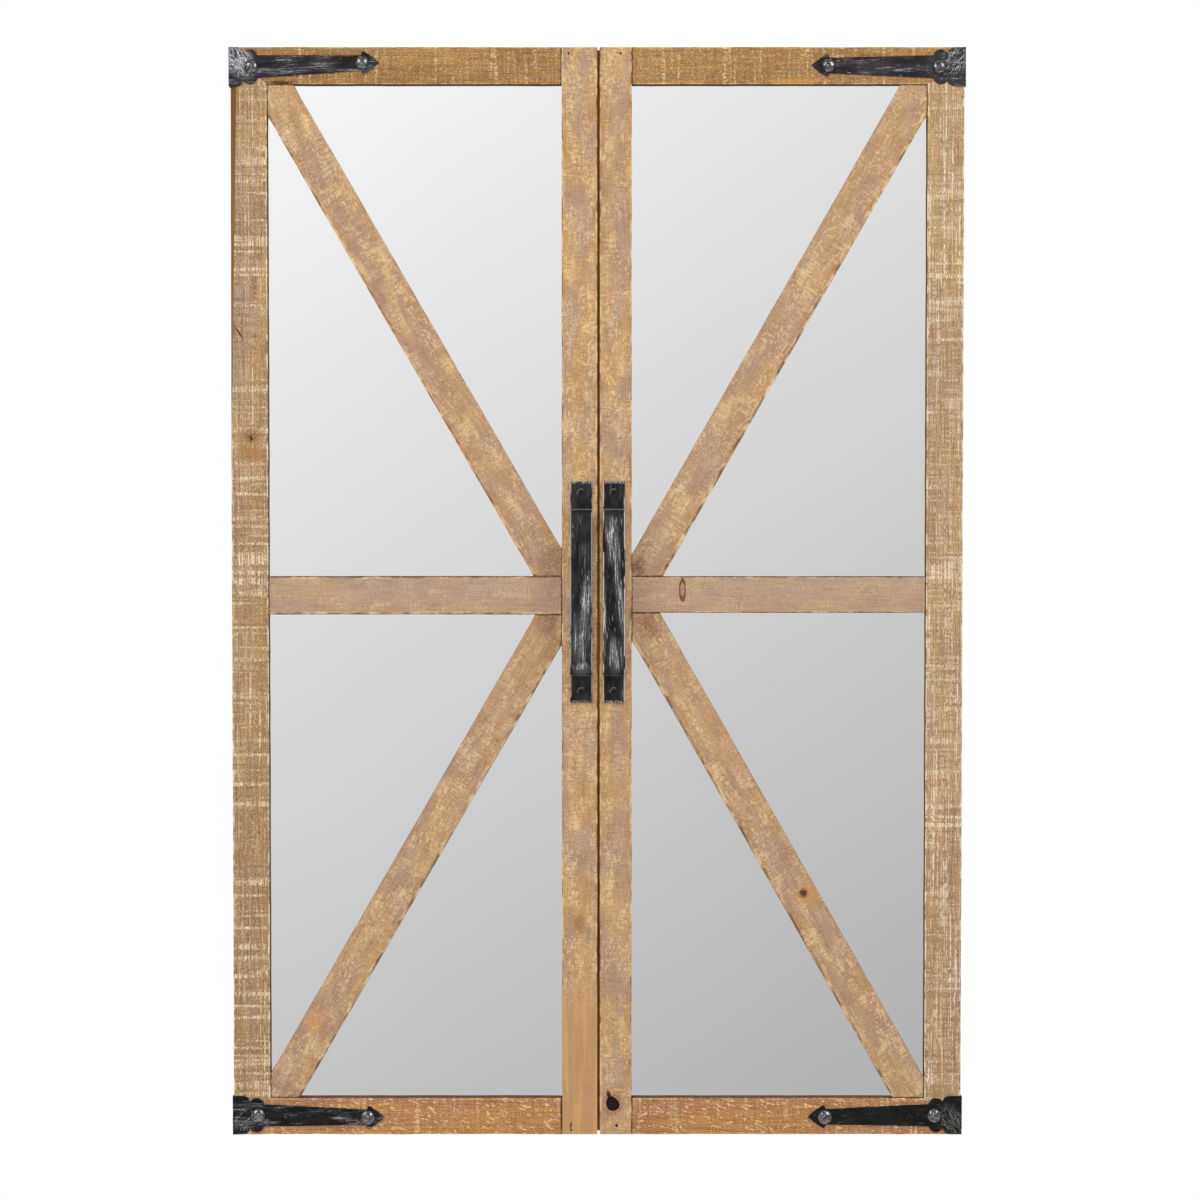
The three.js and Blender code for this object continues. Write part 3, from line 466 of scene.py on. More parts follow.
bottomRailLook = {
    "stain": "#b5824b", "shade": "#a9754f", "taupe": "#a6795a", "gold": "#bd8b4d", "dark": "#7f5129",
    "lime": "#edd2a8",
    "rowStart": 0.6, "threadStart": 0.72, "limeAmount": 0.65, "weave": 0.18, "fade": 0.0, "flecks": 0.7,
    "edgeLime": 0.3,
}
leftMeetingLook = {
    "stain": "#be9567", "shade": "#b09079", "dark": "#86603c", "straw": "#e6c58f", "orange": "#ac713a",
    "patchStart": 0.78, "patchAmount": 0.6, "curls": 0.6, "inkyCurls": 0.35, "warmEdge": 0.4, "flakes": 0.65,
    "planed": -0.335,
}
rightMeetingLook = {
    "stain": "#bc9468", "shade": "#b09079", "dark": "#86613f", "straw": "#e4c48f", "orange": "#a86c38",
    "patchStart": 0.8, "patchAmount": 0.6, "curls": 0.55, "inkyCurls": 0.4, "warmEdge": 0.5, "flakes": 0.6,
}
midRailLook = {
    "stain": "#b99879", "shade": "#b0927f", "dark": "#8a694f", "straw": "#e4cb9c", "orange": "#b07f4e",
    "patchStart": 0.88, "patchAmount": 0.45, "curls": 0.2, "inkyCurls": 0.15, "warmEdge": 0.35, "flakes": 0.18,
}
braceLook = {
    "stain": "#ba946c", "shade": "#b08d75", "dark": "#826043", "straw": "#e2c390", "orange": "#a8723b",
    "patchStart": 0.78, "patchAmount": 0.55, "curls": 0.5, "inkyCurls": 0.45, "warmEdge": 0.45, "flakes": 0.6,
}

knots = {    # places and sizes in mm, as seen from the front; two entries are painted shadows, not knots
    "left_bottom_rail": [
        # painted shadow, not a knot: the black ragged gap at the rail's end by the meeting stile
        {
            "at": (-29.2, -439.0), "size": (3.8, 25), "tint": "#3d2614", "strength": 1.0, "heart": "#0e0805",
            "rough": 1.6,
        },
    ],
    "left_top_rail": [
        # painted shadow, not a knot: a ragged dark band along the rail's lower edge
        {
            "at": (-264.0, 427.4), "size": (24, 4.4), "tint": "#7a4a36", "strength": 0.75, "heart": "#2a170d",
            "rough": 1.9,
        },
    ],
    "right_top_rail": [
        {
            "at": (165.0, 429.0), "size": (42, 4.8), "halo": 1.2, "tint": "#c98d3e", "strength": 0.0,
            "warmth": 0.85, "rough": 0.3,
        },
    ],
    "left_outer_stile": [
        {
            "at": (-290.0, 121.0), "size": (18, 17), "halo": 1.7, "tint": "#9d6c33", "strength": 0.0,
            "warmth": 0.8,
        },
        {
            "at": (-290.5, 134.0), "size": (13, 9), "halo": 1.6, "tint": "#7d5430", "strength": 0.0,
            "warmth": 0.75,
        },
        {"at": (-290.2, 130.5), "size": (3, 5), "halo": 2.2, "tint": "#6a4023", "strength": 0.85},
        {
            "at": (-300.2, 219.0), "size": (1.6, 15), "lean": -0.6, "halo": 1.6, "tint": "#6d4420",
            "strength": 0.8, "rough": 0.5,
        },
    ],
    "left_meeting_stile": [
        {"at": (-14.4, -279.0), "size": (11, 18), "tint": "#b07a48", "strength": 0.25},
        {
            "at": (-22.3, -449.4), "size": (1.7, 6), "lean": 0.2, "halo": 1.5, "tint": "#6d4420",
            "strength": 0.9, "rough": 0.6,
        },
    ],
    "right_meeting_stile": [
        {
            "at": (12.9, -431.0), "size": (14, 18), "halo": 1.5, "tint": "#6e4a2c", "strength": 0.0,
            "warmth": 0.75, "rough": 0.5,
        },
        {
            "at": (9.8, -423.8), "size": (4.2, 9), "lean": -0.3, "halo": 1.5, "tint": "#6b4526",
            "strength": 0.9, "heart": "#1c1009", "rough": 0.7,
        },
    ],
    "right_mid_rail": [
        {
            "at": (71.6, 3.4), "size": (5.2, 18), "halo": 1.3, "tint": "#a9713c", "strength": 0.8,
            "heart": "#56321a", "ring": True, "rough": 0.35, "warmth": 0.85,
        },
    ],
    "right_bottom_brace": [
        {
            "at": (176.5, -254.5), "size": (17, 20), "halo": 1.5, "tint": "#c08c4c", "strength": 0.0,
            "warmth": 0.75,
        },
        {"at": (174.0, -252.6), "size": (8, 8.6), "halo": 1.4, "tint": "#8a5a36", "strength": 0.85},
        {
            "at": (44.0, -26.0), "size": (14, 22), "lean": -0.5, "tint": "#8a5238", "strength": 0.0,
            "warmth": 0.6,
        },
    ],
    "right_top_brace": [
        {"at": (34.0, 22.0), "size": (9, 11), "tint": "#74443a", "strength": 0.0, "warmth": 0.8, "rough": 1.8},
        {"at": (37.5, 33.0), "size": (5, 9), "tint": "#8a5a44", "strength": 0.0, "warmth": 0.6, "rough": 1.8},
    ],
    "left_top_brace": [
        {"at": (-38.0, 28.0), "size": (16, 30), "lean": 0.5, "tint": "#86604e", "strength": 0.0, "warmth": 0.5},
    ],
    "left_bottom_brace": [
        {"at": (-238.0, -362.0), "size": (9, 18), "lean": 0.5, "tint": "#c98b4a", "strength": 0.0},
        {
            "at": (-42.0, -24.0), "size": (16, 18), "lean": 0.5, "tint": "#84543c", "strength": 0.0,
            "warmth": 0.55,
        },
    ],
}

holes = {    # brad holes and one open knot: place and half its width and height, mm
    "left_meeting_stile": [((-24.2, 452.0), (0.7, 1.2)), ((-22.0, -453.5), (0.7, 1.2))],
    "right_meeting_stile": [
        ((19.5, 452.0), (0.7, 1.2)), ((16.3, -449.8), (1.1, 1.2)), ((12.9, -431.2), (5.4, 6.4)),
    ],
}

pitchBlack, pitchTree = newMaterial("nearBlackHoleInside")    # near black: the inside of nail holes and of the open knot
pitchCoords = addNode(pitchTree, "ShaderNodeTexCoord", {}, {})
pitchGrain = addNode(pitchTree, "ShaderNodeTexNoise", {}, {
    "Vector": pitchCoords.outputs["Object"], "Scale": 900.0,
})
pitchColour = addNode(pitchTree, *mixColour, [pitchGrain, hexColour("#120b07"), hexColour("#2c1a10")])
woodSurface(pitchTree, pitchColour, pitchGrain, 0.2)


def cutHole(piece, place, radii, front):    # an uneven pit in the face
    x, z = place
    wide, tall = radii
    bpy.ops.object.select_all(action="DESELECT")
    bpy.ops.mesh.primitive_cylinder_add(
        vertices=18, radius=1.0, depth=2.0, location=(x * mm, front, z * mm), rotation=(math.pi / 2, 0, 0),
    )
    cutter = bpy.context.object
    cutter.scale = (wide * mm, tall * mm, wood["holeDepth"] * mm)
    bpy.ops.object.transform_apply(location=True, rotation=True, scale=True)
    for vertex in cutter.data.vertices:    # not quite round, like a knot that fell out
        across, up = vertex.co.x - x * mm, vertex.co.z - z * mm
        angle = math.atan2(up, across)
        ragged = 1 + 0.09 * math.sin(2 * angle + 2.6) + 0.06 * math.sin(3 * angle + 2.1)
        vertex.co.x = x * mm + across * ragged
        vertex.co.z = z * mm + up * ragged
    cutter.data.materials.append(pitchBlack)
    applyModifier(piece, "BOOLEAN", {
        "object": cutter, "operation": "DIFFERENCE", "solver": "EXACT", "material_mode": "TRANSFER",
    })
    bpy.data.objects.remove(cutter)


waver = lumps("sawWaver", wood["waverSize"])


def startBoard(node, lean, material):    # the CAD board in slices whose faces wander a little
    piece = mergedCopy(node, node + "_board")
    piece.data.materials.append(material)
    along = Vector((math.sin(lean), 0, math.cos(lean)))
    middle = middleOf(node)
    if "outer_stile" in node:    # the mitres close towards their inner ends
        outer = max(abs(vertex.co.x) for vertex in piece.data.vertices)
        boardWidth = outer * 0.1    # a board is about a tenth as wide as its outer edge is from the middle
        for vertex in piece.data.vertices:
            closing = math.copysign(wood["mitreClose"] * mm, vertex.co.z)
            vertex.co.z += closing * (outer - abs(vertex.co.x)) / boardWidth
    reach = max(abs((vertex.co - middle).dot(along)) for vertex in piece.data.vertices)
    step = wood["sliceStep"] * mm
    selectOnly(piece)
    bpy.ops.object.mode_set(mode="EDIT")
    for index in range(-int(reach / step), int(reach / step) + 1):
        bpy.ops.mesh.select_all(action="SELECT")
        bpy.ops.mesh.bisect(plane_co=middle + along * step * (index + wood["sliceShift"]), plane_no=along)
    bpy.ops.object.mode_set(mode="OBJECT")
    applyModifier(piece, "DISPLACE", {
        "texture": waver, "strength": wood["waver"] * mm, "mid_level": wood["waverLevel"],
        "texture_coords": "GLOBAL",
    })
    keepWithin(piece, node)
    return piece


def buttUp(piece, node):    # cut ends reach a hair into the boards they meet, so that no light shows between
    low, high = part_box(node)
    near, reach = 0.8 * mm, wood["buttIn"] * mm
    for vertex in piece.data.vertices:
        if node.endswith(("top_rail", "bottom_rail")) and abs(vertex.co.x) > 0.1:    # the mitred outer end
            continue
        for axis in (0, 2) if "brace" in node else (0,):
            if vertex.co[axis] < low[axis] + near:
                vertex.co[axis] = low[axis] - reach
            elif vertex.co[axis] > high[axis] - near:
                vertex.co[axis] = high[axis] + reach


def finishBoard(piece, node):    # arrises rubbed round
    applyModifier(piece, "BEVEL", {
        "width": wood["edgeRound"] * mm, "segments": 2, "limit_method": "ANGLE",
        "angle_limit": math.radians(40), "harden_normals": False,
    })
    smoothShade(piece, 50)
    hang(piece, node)


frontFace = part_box("left_outer_stile")[0].y
halfStile = 15.5    # half widths across the front, mm
halfBrace = 15.9
# degrees from upright
braceLeans = {"left_top": 30.0, "right_top": 29.75, "left_bottom": 30.0, "right_bottom": 29.6}

boards = []
for side, sign in sides.items():
    meetLow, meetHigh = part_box(side + "_meeting_stile")
    meetLook = leftMeetingLook if side == "left" else rightMeetingLook
    stileLook = leftStileLook if side == "left" else rightStileLook
    boards.append((side + "_outer_stile", 0.0, bandSawnPine, stileLook, halfStile))
    boards.append((side + "_meeting_stile", 0.0, sandedPine, meetLook, (meetHigh.x - meetLow.x) / 2 / mm))
    boards.append((side + "_top_rail", math.pi / 2, bandSawnPine, topRailLook, halfStile))
    boards.append((side + "_bottom_rail", math.pi / 2, bandSawnPine, bottomRailLook, halfStile))
    boards.append((side + "_mid_rail", math.pi / 2, sandedPine, midRailLook, halfStile))
    for level, up in levels.items():
        lean = sign * up * math.radians(braceLeans[f"{side}_{level}"])
        boards.append((f"{side}_{level}_brace", lean, sandedPine, braceLook, halfBrace))

for index, (node, lean, finish, look, halfWidth) in enumerate(boards):
    nodeKnots = [dict(knot, node=node) for knot in knots.get(node, [])]
    piece = startBoard(node, lean, finish(node, lean, halfWidth, look, index * 1.7 + 0.4, nodeKnots))
    if node == "left_outer_stile":    # the bare strip where this board kept its bark edge
        piece.data.materials.append(stainedPine("bareEdge", node, 0.0, "#96683a", "#7a5028", 3.3))
        outer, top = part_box(node)[0].x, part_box(node)[1].z
        corner = Vector((outer, frontFace, wood["waneEnd"] * mm))
        onFace = Vector((outer + wood["waneWidth"] * mm, frontFace, top))
        onSide = Vector((outer, frontFace + wood["waneDepth"] * mm, top))
        across = (onFace - corner).cross(onSide - corner).normalized()
        outward = across if across.dot(Vector((-1, -1, 0))) > 0 else -across
        selectOnly(piece)
        bpy.ops.object.mode_set(mode="EDIT")
        bpy.ops.mesh.select_all(action="SELECT")
        bpy.ops.mesh.bisect(plane_co=corner, plane_no=outward, use_fill=True, clear_outer=True)
        piece.active_material_index = 1
        bpy.ops.object.material_slot_assign()
        bpy.ops.object.mode_set(mode="OBJECT")
    if "rail" in node or "brace" in node:
        buttUp(piece, node)
    for place, radii in holes.get(node, []):
        cutHole(piece, place, radii, frontFace)
    finishBoard(piece, node)
print("leaf boards:", len(boards))

battens = {    # lean and seed
    "frame_left_post": (0, 15), "frame_right_post": (0, 16), "frame_centre_post": (0, 17),
    "frame_head": (math.pi / 2, 10), "frame_sill": (math.pi / 2, 10),
}
for node, (lean, seed) in battens.items():
    finish = stainedPine(node, node, lean, "#a3621f", "#7c4a14", seed)
    finishBoard(startBoard(node, lean, finish), node)
print("frame battens done")


# iron

iron = {
    "voxel": 0.5,         # grain of the reworked forged faces, mm
    "dent": 0.35,         # depth of the hammer marks, mm
    "dentSize": 9.0,
    "dentLevel": 0.75,    # above 0.5 the marks go in rather than out
    "scratchWidth": 0.6,  # dry-brush marks, mm
    "clavoRadius": 6.15,
    "clavoHeight": 4.0,
    "clavoSteps": 7,
    "lowerClavo": 1.07,   # the lower four are a larger size
    "padFrom": 28.0,      # where a pull's flat pads begin to stay dull, mm from its end
    "padTo": 22.0,
    "tipFrom": 2.6,       # the rubbed ends of the pads, mm
    "tipTo": 0.9,
    "bendShadeAt": 27.0,       # painted shade in the bend, mm from the end
    "lipHighlightAt": 23.4,        # painted highlight on the lip before it
}


def silverCorner(tree, corner):    # scraped bright in swirls round the outer corner of a strap
    coords = addNode(tree, "ShaderNodeTexCoord", {}, {})
    local, reach = softSpot(tree, coords.outputs["Object"], corner["at"], corner["size"], corner["turn"])
    combed = addNode(tree, "ShaderNodeMapping", {}, {"Vector": local, "Scale": (18.0, 1.0, 4.0)})
    stroke = addNode(tree, "ShaderNodeTexNoise", {}, {
        "Vector": combed, "Scale": 1.0, "Detail": 5.0, "Distortion": 1.6,
    })
    inside = addNode(tree, *softStep, [reach, 1.2, 0.35])
    return addNode(tree, *multiply, [
        inside,
        addNode(tree, *softStep, [stroke, corner["start"], corner["start"] + 0.16, 0.0, corner["amount"]]),
    ])


def pullWearAndPaintedLight(tree, bar, silver, seed):    # pads left dull, their ends rubbed, painted shade in the bends and a painted highlight on the lip before each
    parts = addNode(tree, "ShaderNodeSeparateXYZ", {}, {"Vector": bar})
    up = addNode(tree, *absolute, [parts.outputs["Z"]])
    halfLength = (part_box("left_pull")[1].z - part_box("left_pull")[0].z) / 2
    inPad = addNode(tree, *softStep, [
        up, halfLength - iron["padFrom"] * mm, halfLength - iron["padTo"] * mm, 0.0, 0.8,
    ])
    silver = addNode(tree, *multiply, [silver, addNode(tree, *subtract, [1.0, inPad])])
    tip = addNode(tree, *softStep, [up, halfLength - iron["tipFrom"] * mm, halfLength - iron["tipTo"] * mm])
    crumbs = addNode(tree, *softStep, [grainField(tree, bar, 1.0, 1.2, seed + 5, 2), 0.44, 0.58, 0.0, 0.8])
    silver = addNode(tree, *maximum, [
        silver, addNode(tree, *multiply, [addNode(tree, *multiply, [tip, crumbs]), 0.5]),
    ])
    # painted shade: silver taken off in the bends
    fromBend = addNode(tree, *absolute, [addNode(tree, *subtract, [up, halfLength - iron["bendShadeAt"] * mm])])
    bendShade = addNode(tree, *softStep, [fromBend, 4 * mm, 1 * mm, 0.0, 0.85])
    silver = addNode(tree, *multiply, [silver, addNode(tree, *subtract, [1.0, bendShade])])
    # painted highlight: a thin bright line on the lip
    fromLip = addNode(tree, *absolute, [addNode(tree, *subtract, [up, halfLength - iron["lipHighlightAt"] * mm])])
    return addNode(tree, *maximum, [silver, addNode(tree, *softStep, [fromLip, 0.7 * mm, 0.2 * mm, 0.0, 0.35])])


# mild steel painted black and dry-brushed with silver: fine bright scratches along the bar, dull black between
def brushedBlackIron(name, node, lean, look, seed, corner=None):
    material, tree = newMaterial("brushedBlackIron_" + name)
    bar = boardSpace(tree, node, lean)
    brushed = boardSpace(tree, node, lean, look.get("slant", 0.0))
    cloud = grainField(tree, bar, 6, 18, seed, 3)
    fine = addNode(tree, *softStep, [
        grainField(tree, brushed, iron["scratchWidth"], look["stroke"], seed + 1, 1), 0.52, 0.64,
    ])
    coarse = addNode(tree, *softStep, [
        grainField(tree, brushed, 1.8, look["stroke"] * 0.6, seed + 6, 3), 0.48, 0.7, 0.0, 0.15,
    ])
    grit = addNode(tree, *softStep, [grainField(tree, brushed, 0.7, 2.4, seed + 8, 2), 0.36, 0.6, 0.0, 0.75])
    stray = addNode(tree, *softStep, [
        grainField(tree, brushed, 0.6, look["stroke"] * 0.3, seed + 7, 1), 0.68, 0.76, 0.0, look["stray"],
    ])
    area = addNode(tree, *softStep, [
        grainField(tree, bar, 6, 30, seed + 2, 3), look["areaStart"], look["areaStart"] + 0.2,
    ])
    for x, z, wide, tall, sweepLean, amount in look["sweeps"]:    # where the brush passed most; the painted sheen lies there too
        reach = softSpot(tree, bar, (x * mm, 0, z * mm), (wide, tall), sweepLean)[1]
        area = addNode(tree, *maximum, [area, addNode(tree, *softStep, [reach, 1.15, 0.3, 0.0, amount])])
    nick = addNode(tree, *softStep, [
        grainField(tree, bar, 0.8, 1.2, seed + 3, 2), 0.64, 0.7, 0.0, look["nicks"],
    ])
    silver = addNode(tree, *multiply, [addNode(tree, *maximum, [fine, coarse]), area])
    silver = addNode(tree, *multiply, [silver, addNode(tree, *plus, [grit, 0.25])])    # broken up by pores
    silver = addNode(tree, *maximum, [
        silver, addNode(tree, *maximum, [addNode(tree, *multiply, [nick, area]), stray]),
    ])
    parts = addNode(tree, "ShaderNodeSeparateXYZ", {}, {"Vector": bar})
    away = addNode(tree, *absolute, [parts.outputs["X"]])
    broken = addNode(tree, *softStep, [cloud, 0.4, 0.52, 0.0, look["rim"]])
    rim = addNode(tree, *multiply, [
        addNode(tree, *softStep, [away, look["halfWidth"] * mm - 1.2 * mm, look["halfWidth"] * mm - 0.4 * mm]),
        broken,
    ])
    if "pull" in node:
        silver = pullWearAndPaintedLight(tree, bar, silver, seed)
    silver = addNode(tree, *maximum, [silver, rim])
    colour = addNode(tree, *mixColour, [
        addNode(tree, *softStep, [cloud, 0.35, 0.65]), hexColour(look["black"]), hexColour(look["grey"]),
    ])
    # painted sheen: a soft grey laid into the base colour over the brushed areas
    colour = addNode(tree, *mixColour, [
        addNode(tree, *multiply, [area, look["sheen"]]), colour, hexColour("#5c5c60"),
    ])
    colour = addNode(tree, *mixColour, [silver, colour, hexColour(look["silver"])])
    if corner:
        swirls = silverCorner(tree, corner)
        colour = addNode(tree, *mixColour, [swirls, colour, hexColour(corner["silver"])])
        silver = addNode(tree, *maximum, [silver, swirls])
    bump = addNode(tree, "ShaderNodeBump", {}, {
        "Height": addNode(tree, *multiplyAdd, [silver, 0.5, cloud]), "Strength": 0.4, "Distance": 0.3 * mm,
    })
    surface = addNode(tree, "ShaderNodeBsdfPrincipled", {}, {
        "Base Color": colour, "Metallic": addNode(tree, *multiply, [silver, 0.5]),
        "Roughness": 0.42, "Specular IOR Level": 0.2, "Normal": bump,
    })
    addNode(tree, "ShaderNodeOutputMaterial", {}, {"Surface": surface})
    return material


# bright hardware of one plain metal with a little cloudiness, such as zinc plate or pewter
def platedSteel(name, light, dark, roughness, grainMm):
    material, tree = newMaterial(name)
    coords = addNode(tree, "ShaderNodeTexCoord", {}, {})
    cloud = addNode(tree, "ShaderNodeTexNoise", {}, {
        "Vector": coords.outputs["Object"], "Scale": 1 / (grainMm * mm), "Detail": 3.0,
    })
    colour = addNode(tree, *mixColour, [
        addNode(tree, *softStep, [cloud, 0.35, 0.65]), hexColour(light), hexColour(dark),
    ])
    bump = addNode(tree, "ShaderNodeBump", {}, {"Height": cloud, "Strength": 0.25, "Distance": 0.2 * mm})
    surface = addNode(tree, "ShaderNodeBsdfPrincipled", {}, {
        "Base Color": colour, "Metallic": 1.0, "Roughness": roughness, "Normal": bump,
    })
    addNode(tree, "ShaderNodeOutputMaterial", {}, {"Surface": surface})
    return material


# screw heads painted with their pull, with a painted highlight of steel colour on the upper left of the rim and
# painted shade in the cross recess
def screwHeadWithPaintedGlint(node, headRadius):
    material, tree = newMaterial("screwHeadWithPaintedGlint_" + node)
    coords = addNode(tree, "ShaderNodeTexCoord", {}, {})
    middle = middleOf(node)
    local = addNode(tree, "ShaderNodeMapping", {}, {
        "Vector": coords.outputs["Object"], "Location": (-middle.x, 0, -middle.z), "Scale": (1, 0, 1),
    })
    reach = addNode(tree, "ShaderNodeVectorMath", {"operation": "LENGTH"}, {0: local})
    grit = addNode(tree, "ShaderNodeTexNoise", {}, {
        "Vector": coords.outputs["Object"], "Scale": 900.0, "Detail": 2.0,
    })
    ring = addNode(tree, *softStep, [reach.outputs["Value"], (headRadius - 1.1) * mm, (headRadius - 0.3) * mm])
    # painted highlight: steel colour only on the rim's upper left, where the light falls
    toLight = addNode(tree, "ShaderNodeVectorMath", {"operation": "DOT_PRODUCT"}, {0: local, 1: (-0.6, 0, 0.8)})
    lit = addNode(tree, *softStep, [toLight.outputs["Value"], 0.0, 2.4 * mm])
    glintCrescent = addNode(tree, *multiply, [
        addNode(tree, *multiply, [ring, lit]), addNode(tree, *softStep, [grit, 0.3, 0.55, 0.0, 0.9]),
    ])
    colour = addNode(tree, *mixColour, [glintCrescent, hexColour("#161618"), hexColour("#8d8c89")])
    parts = addNode(tree, "ShaderNodeSeparateXYZ", {}, {"Vector": coords.outputs["Object"]})
    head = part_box(node)[0].y
    # painted shade: the cross recess darker than the head
    recessShade = addNode(tree, *softStep, [parts.outputs["Y"], head + 0.1 * mm, head + 0.4 * mm])
    colour = addNode(tree, *mixColour, [recessShade, colour, hexColour("#060606")])
    surface = addNode(tree, "ShaderNodeBsdfPrincipled", {}, {
        "Base Color": colour, "Metallic": addNode(tree, *multiply, [glintCrescent, 0.7]), "Roughness": 0.4,
        "Specular IOR Level": 0.35,
    })
    addNode(tree, "ShaderNodeOutputMaterial", {}, {"Surface": surface})
    return material


# a sweep is x, z, width, length, lean and amount, from the middle of the bar
pullLooks = {
    "left": {
        "black": "#0a0a0c", "grey": "#2a2a2d", "silver": "#e2e2e4", "areaStart": 0.65, "nicks": 0.3,
        "rim": 0.5, "sheen": 0.42, "halfWidth": 9.25, "slant": 0.04, "stray": 0.5, "stroke": 44,
        "sweeps": [
            (3, -22, 11, 84, 0.06, 1.0), (-4, -40, 7, 50, 0.0, 0.8),
            (0, -64, 17, 16, 0.0, 0.9), (2, 30, 9, 30, 0.0, 0.2),
        ],
    },
    "right": {
        "black": "#0b0b0d", "grey": "#2a2a2d", "silver": "#e8e8ea", "areaStart": 0.6, "nicks": 0.5,
        "rim": 0.8, "sheen": 0.45, "halfWidth": 9.25, "slant": -0.06, "stray": 0.6, "stroke": 44,
        "sweeps": [
            (-1, 44, 12, 54, -0.12, 1.0), (4, 2, 6, 80, -0.1, 0.9),
            (-8, -24, 4, 76, 0.0, 1.0), (1, -54, 14, 40, 0.0, 0.7),
        ],
    },
}
strapLooks = {
    "left_top": {
        "black": "#121112", "grey": "#272527", "silver": "#9c9a9f",
        "areaStart": 0.45, "nicks": 0.25, "stray": 0.5, "sheen": 0.12,
    },
    "right_top": {
        "black": "#1a191a", "grey": "#343134", "silver": "#b9b7bd",
        "areaStart": 0.5, "nicks": 0.5, "stray": 0.6, "sheen": 0.12,
    },
    "left_bottom": {
        "black": "#060606", "grey": "#1a1a1a", "silver": "#b4b2b8",
        "areaStart": 0.48, "nicks": 0.5, "stray": 0.6, "sheen": 0.05,
    },
    "right_bottom": {
        "black": "#070707", "grey": "#141412", "silver": "#8f8e86",
        "areaStart": 0.6, "nicks": 0.25, "stray": 0.3, "sheen": 0.05,
    },
}
strapCorners = {    # how strong, how sparse and which silver
    "left_top": {"amount": 0.85, "start": 0.45, "silver": "#e6e4ee"},
    "right_top": {"amount": 1.0, "start": 0.54, "silver": "#ececf0"},
    "left_bottom": {"amount": 0.85, "start": 0.57, "silver": "#dcdbe0"},
    "right_bottom": {"amount": 0.65, "start": 0.5, "silver": "#a8a7a2"},
}
hammer = lumps("hammerMarks", iron["dentSize"])


def forge(node, material):    # flat bar with its faces beaten and its corners eased
    piece = mergedCopy(node, node + "_forged")
    applyModifier(piece, "REMESH", {
        "mode": "VOXEL", "voxel_size": iron["voxel"] * mm, "use_smooth_shade": True,
    })
    applyModifier(piece, "SMOOTH", {"factor": 0.5, "iterations": 2})
    applyModifier(piece, "DISPLACE", {
        "texture": hammer, "strength": iron["dent"] * mm, "mid_level": iron["dentLevel"],
        "texture_coords": "GLOBAL",
    })
    keepWithin(piece, node)
    piece.data.materials.append(material)
    smoothShade(piece, 60)
    hang(piece, node)


for side, sign in sides.items():
    forge(side + "_pull", brushedBlackIron(side + "Pull", side + "_pull", 0.0, pullLooks[side], 5.0 + sign))
    for level, up in levels.items():
        node = f"{side}_{level}_strap"
        look = dict(strapLooks[f"{side}_{level}"], rim=0.0, halfWidth=50.0, stroke=16, sweeps=[])
        outerX = sign * max(abs(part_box(node)[0].x), abs(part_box(node)[1].x))
        corner = {
            "at": (outerX - sign * 9 * mm, 0.0, middleOf(node).z + up * 5 * mm),
            "turn": sign * up * 0.6, "size": (24, 34), **strapCorners[f"{side}_{level}"],
        }
        forge(node, brushedBlackIron(node, node, math.pi / 2, look, 11.0 + 3 * sign + up, corner))
print("pulls and straps forged")

pewter = platedSteel("wroughtPewterIron", "#a3a2a4", "#464547", 0.22, 1.5)    # waxed iron with a soft sheen


def modelClavo():    # a disc raised in steps to a dome, open behind, where it lies on the strap
    bpy.ops.object.select_all(action="DESELECT")
    bpy.ops.mesh.primitive_circle_add(
        vertices=32, radius=iron["clavoRadius"] * mm, fill_type="NGON", rotation=(math.pi / 2, 0, 0),
    )
    clavo = bpy.context.object
    bpy.ops.object.transform_apply(rotation=True)
    bpy.ops.object.mode_set(mode="EDIT")
    bpy.ops.mesh.select_all(action="SELECT")
    steps = iron["clavoSteps"]
    for step in range(1, steps):    # up the dome, a quarter turn in all
        before, after = (math.pi / 2 * k / steps for k in (step - 1, step))
        rise = iron["clavoHeight"] * mm * (math.sin(after) - math.sin(before))
        shrink = math.cos(after) / math.cos(before)
        bpy.ops.mesh.extrude_region_move(TRANSFORM_OT_translate={"value": (0, -rise, 0)})
        bpy.ops.transform.resize(value=(shrink, 1, shrink), center_override=(0, 0, 0))
    bpy.ops.object.mode_set(mode="OBJECT")
    return clavo


clavoModel = modelClavo()
clavoModel.data.materials.append(pewter)
applyModifier(clavoModel, "SUBSURF", {"levels": 1, "render_levels": 1})
clavoCount = 0
for node in slotOf:
    if node.endswith("_nail"):
        low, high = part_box(node)
        clavo = clavoModel.copy()
        clavo.data = clavoModel.data.copy()
        clavo.name = node + "_clavo"
        scene.collection.objects.link(clavo)
        strapFace = low.y + iron["clavoHeight"] * mm
        if "bottom" in node:
            clavo.data.transform(Matrix.Diagonal((iron["lowerClavo"], 1.0, iron["lowerClavo"], 1.0)))
        clavo.data.transform(Matrix.Translation(((low.x + high.x) / 2, strapFace, (low.z + high.z) / 2)))
        smoothShade(clavo, 60)
        hang(clavo, node)
        clavoCount += 1
bpy.data.objects.remove(clavoModel)
print("clavos:", clavoCount)


# mirror and the plain nodes

def silveredGlass():    # float glass silvered behind: a clean reflection, a little dimmed
    material, tree = newMaterial("silveredGlass")
    coords = addNode(tree, "ShaderNodeTexCoord", {}, {})
    haze = addNode(tree, "ShaderNodeTexNoise", {}, {
        "Vector": coords.outputs["Object"], "Scale": 6.0, "Detail": 1.0,
    })
    colour = addNode(tree, *mixColour, [haze, hexColour("#f5f5f5"), hexColour("#f2f2f2")])
    surface = addNode(tree, "ShaderNodeBsdfPrincipled", {}, {
        "Base Color": colour, "Metallic": 1.0, "Roughness": 0.0,
    })
    addNode(tree, "ShaderNodeOutputMaterial", {}, {"Surface": surface})
    return material


